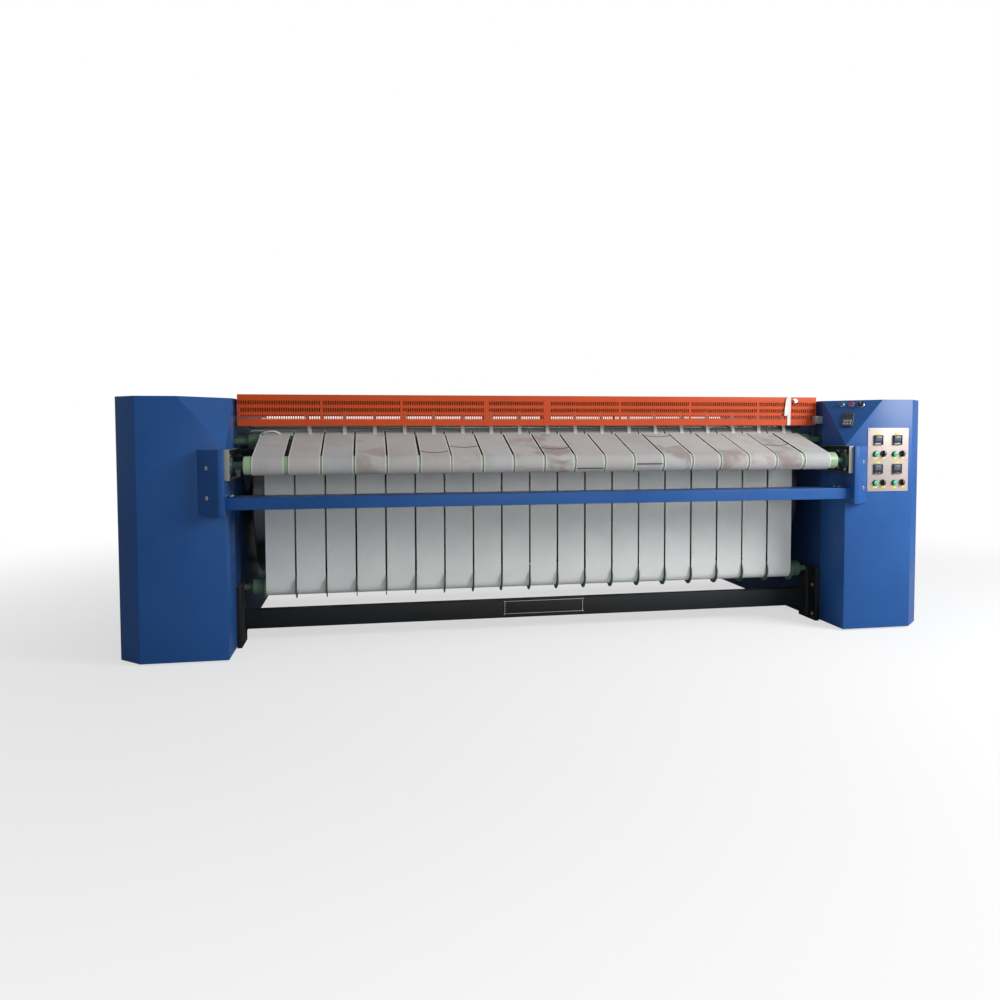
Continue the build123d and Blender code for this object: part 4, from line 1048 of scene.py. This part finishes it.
def make_looped_tape():
    """The right-hand tape, thrown back over the guard with its loose end hanging in front."""
    bm = bmesh.new()
    face = GUARD_FACE - 0.0012
    middle = TAPE_MIDDLES[-1]
    hang = smooth_path([(face - 0.002, GUARD_LOW + 0.0005), (face, 1.21), (face - 0.0005, 1.27),
                        (face, 1.315), (face + 0.002, 1.324), (face + 0.01, 1.3255),
                        (face + 0.055, 1.3255)], 5)
    strap(bm, hang, middle + 0.006, TAPE_HALF_WIDTH, -0.006)
    loose = smooth_path([(face + 0.03, 1.3259), (face + 0.006, 1.3258), (face - 0.004, 1.32),
                         (face - 0.0055, 1.295), (face - 0.0065, 1.255), (face - 0.012, 1.216)], 5)
    strap(bm, loose, middle - 0.026, 0.009, 0.03)
    cloth(bm, "looped_tape_soft", "looped_tape", "hand_guard", 0.001)


make_tapes()
make_looped_tape()

# ---- controls


def make_control_panel():
    """The stainless plate with its screws and blank label strips."""
    plate, screws, strips = bmesh.new(), bmesh.new(), bmesh.new()
    rounded_block(plate, (1.787, PANEL_Y, 0.786), (2.041, FRONT, 1.143), 0.001)
    for x in (1.797, 2.031):
        for z in (0.797, 0.9645, 1.132):
            pan_screw(screws, on_panel(x, z), 0.0035)
    for x, z in ZONES:
        for across, up, wide in ((0.0, 0.0355, 0.015), (BUTTON_AT[0], -0.1035, 0.014),
                                 (KNOB_AT[0], -0.1025, 0.013)):
            rounded_block(strips, (-0.0006, -wide, -0.0045), (0.0008, wide, 0.0045), 0.0003,
                          on_panel(x + across, z + up))
    finished(plate, "control_panel_plate", STAINLESS, ["control_panel"])
    finished(screws, "panel_screws", BOLT_STEEL, smooth=30)
    finished(strips, "blank_label_strips", LABEL_YELLOW)


def make_displays():
    """Four dark displays, each a frame with a grey screen over four keys."""
    frames, screens, keys = bmesh.new(), bmesh.new(), bmesh.new()
    for x, z in ZONES:
        place = on_panel(x, z)
        one = block((0.0, -0.0275, -0.0275), (0.009, 0.0275, 0.0275))
        face = max(one.faces, key=lambda f: f.calc_center_median().x)
        bmesh.ops.inset_individual(one, faces=[face], thickness=0.0045, depth=0.0)
        bmesh.ops.inset_individual(one, faces=[face], thickness=0.0006, depth=-0.0022)
        bevelled(one, creases(one, math.radians(50)), 0.0007)
        joined(frames, one, place)
        rounded_block(screens, (0.0064, -0.02, -0.005), (0.0075, 0.02, 0.0195), 0.0003, place)
        for k in range(4):
            at = place @ Matrix.Translation((0.0064, -0.015 + 0.01 * k, -0.0135))
            rounded_block(keys, (0.0, -0.0033, -0.0028), (0.0017, 0.0033, 0.0028), 0.0005, at)
    finished(frames, "display_frames", GLASS_DARK, ["zone_displays"])
    finished(screens, "display_screens", SCREEN_GREY)
    finished(keys, "display_keys", KNOB_BLACK)


def bezel(bm, place):
    """The ring round a push button."""
    radius, height, bore = 0.016, 0.009, 0.0126
    spun(bm, [(0.0, bore), (0.0, radius - 0.0004), (0.002, radius),
              (height - 0.003, radius - 0.0005), (height, radius - 0.0025),
              (height, bore + 0.0004), (height - 0.0006, bore), (0.0, bore)], place, steps=40)


def button(node, place, material):
    """A domed push-button cap, in its bezel."""
    bm = bmesh.new()
    spun(bm, [(0.005, 0.0), (0.005, 0.0118), (0.0108, 0.012), (0.0122, 0.0113), (0.0132, 0.009),
              (0.0138, 0.005), (0.014, 0.0)], place, steps=40)
    finished(bm, node + "_cap", material, [node], node)


def knob(node, place):
    """A round skirt with a straight grip that narrows outwards, and a pale line on it, painted
    where the grip shows a highlight.
    """
    grip, line = bmesh.new(), bmesh.new()
    spun(grip, [(0.0004, 0.0), (0.0004, 0.0176), (0.0012, 0.018), (0.0065, 0.0176),
                (0.008, 0.016), (0.008, 0.0)], place, steps=40)
    bar = block((0.0078, -0.0055, -0.016), (0.02, 0.0055, 0.016))
    for v in bar.verts:
        if v.co.x > 0.01:
            v.co.y *= 0.72
            v.co.z *= 0.94
    outwards(bar)
    bevelled(bar, creases(bar, math.radians(25)), 0.0016, segments=3)
    joined(grip, bar, place)
    rounded_block(line, (0.0196, -0.0008, 0.001), (0.0203, 0.0008, 0.0135), 0.0002, place)
    finished(grip, node + "_grip", KNOB_BLACK, [node], node)
    finished(line, node + "_highlight_line", KNOB_LINE, body=node)


def make_controls():
    """The zone buttons and knobs, and the start, stop and mode controls on the facet."""
    bezels, rings = bmesh.new(), bmesh.new()
    for number, (x, z) in enumerate(ZONES, 1):
        at = on_panel(x + BUTTON_AT[0], z + BUTTON_AT[1])
        bezel(bezels, at)
        button(f"zone_button_{number}", at, BUTTON_GREEN)
        knob(f"zone_knob_{number}", on_panel(x + KNOB_AT[0], z + KNOB_AT[1]))
    bezel(rings, on_facet(*START_AT))
    bezel(rings, on_facet(*STOP_AT))
    spun(rings, [(0.0, 0.0), (0.0, 0.019), (0.0022, 0.019), (0.003, 0.0182), (0.003, 0.0)],
         on_facet(*SWITCH_AT), steps=40)
    finished(bezels, "zone_bezels", KNOB_BLACK, ["zone_button_bezels"])
    finished(rings, "facet_rings", CHROME, ["facet_bezels"])
    button("start_button", on_facet(*START_AT), START_GREEN)
    button("stop_button", on_facet(*STOP_AT), BUTTON_RED)
    knob("mode_switch", on_facet(*SWITCH_AT, lift=0.003))


def make_keypad():
    """The speed keypad: a dark housing, a window and two rows of blank keys."""
    housing, window, keys = bmesh.new(), bmesh.new(), bmesh.new()
    place = on_facet(*KEYPAD_AT)
    rounded_block(housing, (0.0, -0.031, -0.046), (0.0125, 0.031, 0.046), 0.003, place, segments=3)
    rounded_block(window, (0.012, -0.024, 0.01), (0.0133, 0.024, 0.038), 0.0004, place)
    for row in range(2):
        for column in range(3):
            at = place @ Matrix.Translation((0.0122, -0.016 + 0.016 * column, -0.012 - 0.018 * row))
            rounded_block(keys, (0.0, -0.006, -0.0065), (0.0018, 0.006, 0.0065), 0.0006, at)
    finished(housing, "keypad_housing", KEYPAD_GREY, ["keypad"])
    finished(window, "keypad_window", GLASS_DARK)
    finished(keys, "keypad_keys", KEY_PALE)


def make_nameplate():
    """The beam's blank plate: a black sheet with a thin pale border and four rivets."""
    plate, border = bmesh.new(), bmesh.new()
    place = to_front(0.0085, FRONT + 0.37, 0.13)
    rounded_block(plate, (0.0, -0.2355, -0.04), (0.0012, 0.2355, 0.04), 0.0004, place)
    for low, high in (((-0.228, 0.0345), (0.228, 0.036)), ((-0.228, -0.036), (0.228, -0.0345)),
                      ((-0.228, -0.036), (-0.2265, 0.036)), ((0.2265, -0.036), (0.228, 0.036))):
        rounded_block(border, (0.001, *low), (0.0015, *high), 0.0001, place)
    for y in (-0.231, 0.231):
        for z in (-0.0375, 0.0375):
            pan_screw(border, place @ Matrix.Translation((0.0012, y, z)), 0.0025)
    finished(plate, "blank_plate", FRAME_BLACK)
    finished(border, "plate_border", KNOB_LINE)


make_control_panel()
make_displays()
make_controls()
make_keypad()
make_nameplate()

# ---- lights, world and floor
WORLD_LIGHT = 0.22
CAMERA_RAY = "Is Camera Ray"


def softbox(name, place, target, width, height, watts):
    """A rectangular lamp that looks at a point."""
    data = bpy.data.lights.new(name, "AREA")
    data.shape = "RECTANGLE"
    data.size, data.size_y = width, height
    data.energy = watts
    lamp = shown(name, data)
    lamp.location = place
    lamp.rotation_euler = (Vector(target) - Vector(place)).to_track_quat("-Z", "Y").to_euler()


def blank_tree(holder, output):
    """An empty node tree with its output's input and the kinds of rays."""
    holder.use_nodes = True
    tree = holder.node_tree
    tree.nodes.clear()
    rays = tree.nodes.new("ShaderNodeLightPath").outputs
    return tree, rays, tree.nodes.new(output).inputs[0]


def blended(tree, share, first, second):
    """Two shaders mixed by a share."""
    return add_node(tree, "MixShader", {0: share, 1: first, 2: second}).outputs[0]


def make_world():
    """A white world for the camera and dimly in reflections, and a soft light for the rest."""
    world = bpy.data.worlds.new("studio")
    scene.world = world
    tree, rays, out = blank_tree(world, "ShaderNodeOutputWorld")
    plain = add_node(tree, "Background",
                     {"Color": (0.96, 0.98, 0.98, 1.0), "Strength": WORLD_LIGHT}).outputs[0]
    white = add_node(tree, "Background",
                     {"Color": (1.0, 1.0, 1.0, 1.0), "Strength": 1.0}).outputs[0]
    shiny = maths(tree, "MAXIMUM", rays["Is Glossy Ray"], rays["Is Transmission Ray"])
    seen = maths(tree, "MAXIMUM", rays[CAMERA_RAY], maths(tree, "MULTIPLY", shiny, WORLD_LIGHT))
    tree.links.new(blended(tree, seen, plain, white), out)


def make_floor():
    """A pale floor that turns to plain white away from the machine."""
    bm = bmesh.new()
    bmesh.ops.create_grid(bm, x_segments=1, y_segments=1, size=30.0)
    mesh = bpy.data.meshes.new("floor")
    bm.to_mesh(mesh)
    bm.free()
    material = bpy.data.materials.new("floor_pale")
    tree, rays, out = blank_tree(material, "ShaderNodeOutputMaterial")
    bounce, matt = (add_node(tree, "BsdfDiffuse", {"Color": colour}).outputs[0]
                    for colour in ((0.55, 0.55, 0.56, 1.0), (0.9, 0.9, 0.9, 1.0)))
    glow = add_node(tree, "Emission", {"Color": (1, 1, 1, 1), "Strength": 1.0}).outputs[0]
    distance = add_node(tree, "VectorMath", {0: object_vector(tree)}, operation="LENGTH")
    share = spread(tree, distance.outputs["Value"], 2.2, 6.0, 0.62, 1.0)
    pale = blended(tree, share, matt, glow)
    tree.links.new(blended(tree, rays[CAMERA_RAY], bounce, pale), out)
    mesh.materials.append(material)
    floor = shown("floor", mesh)


softbox("key_softbox", (4.3, -3.4, 2.7), (1.6, -0.8, 0.8), 2.4, 2.0, 245)
softbox("fill_softbox", (0.2, -5.6, 1.5), (0, 0, 0.6), 2.4, 1.6, 46)
softbox("top_softbox", (0.0, -0.6, 5.2), (0, 0, 0.6), 6.0, 3.5, 16)
softbox("rear_softbox", (0.0, 6.0, 3.6), (0, 0, 0.8), 6.0, 2.5, 90)
make_world()
make_floor()
scene.view_settings.view_transform = "Standard"
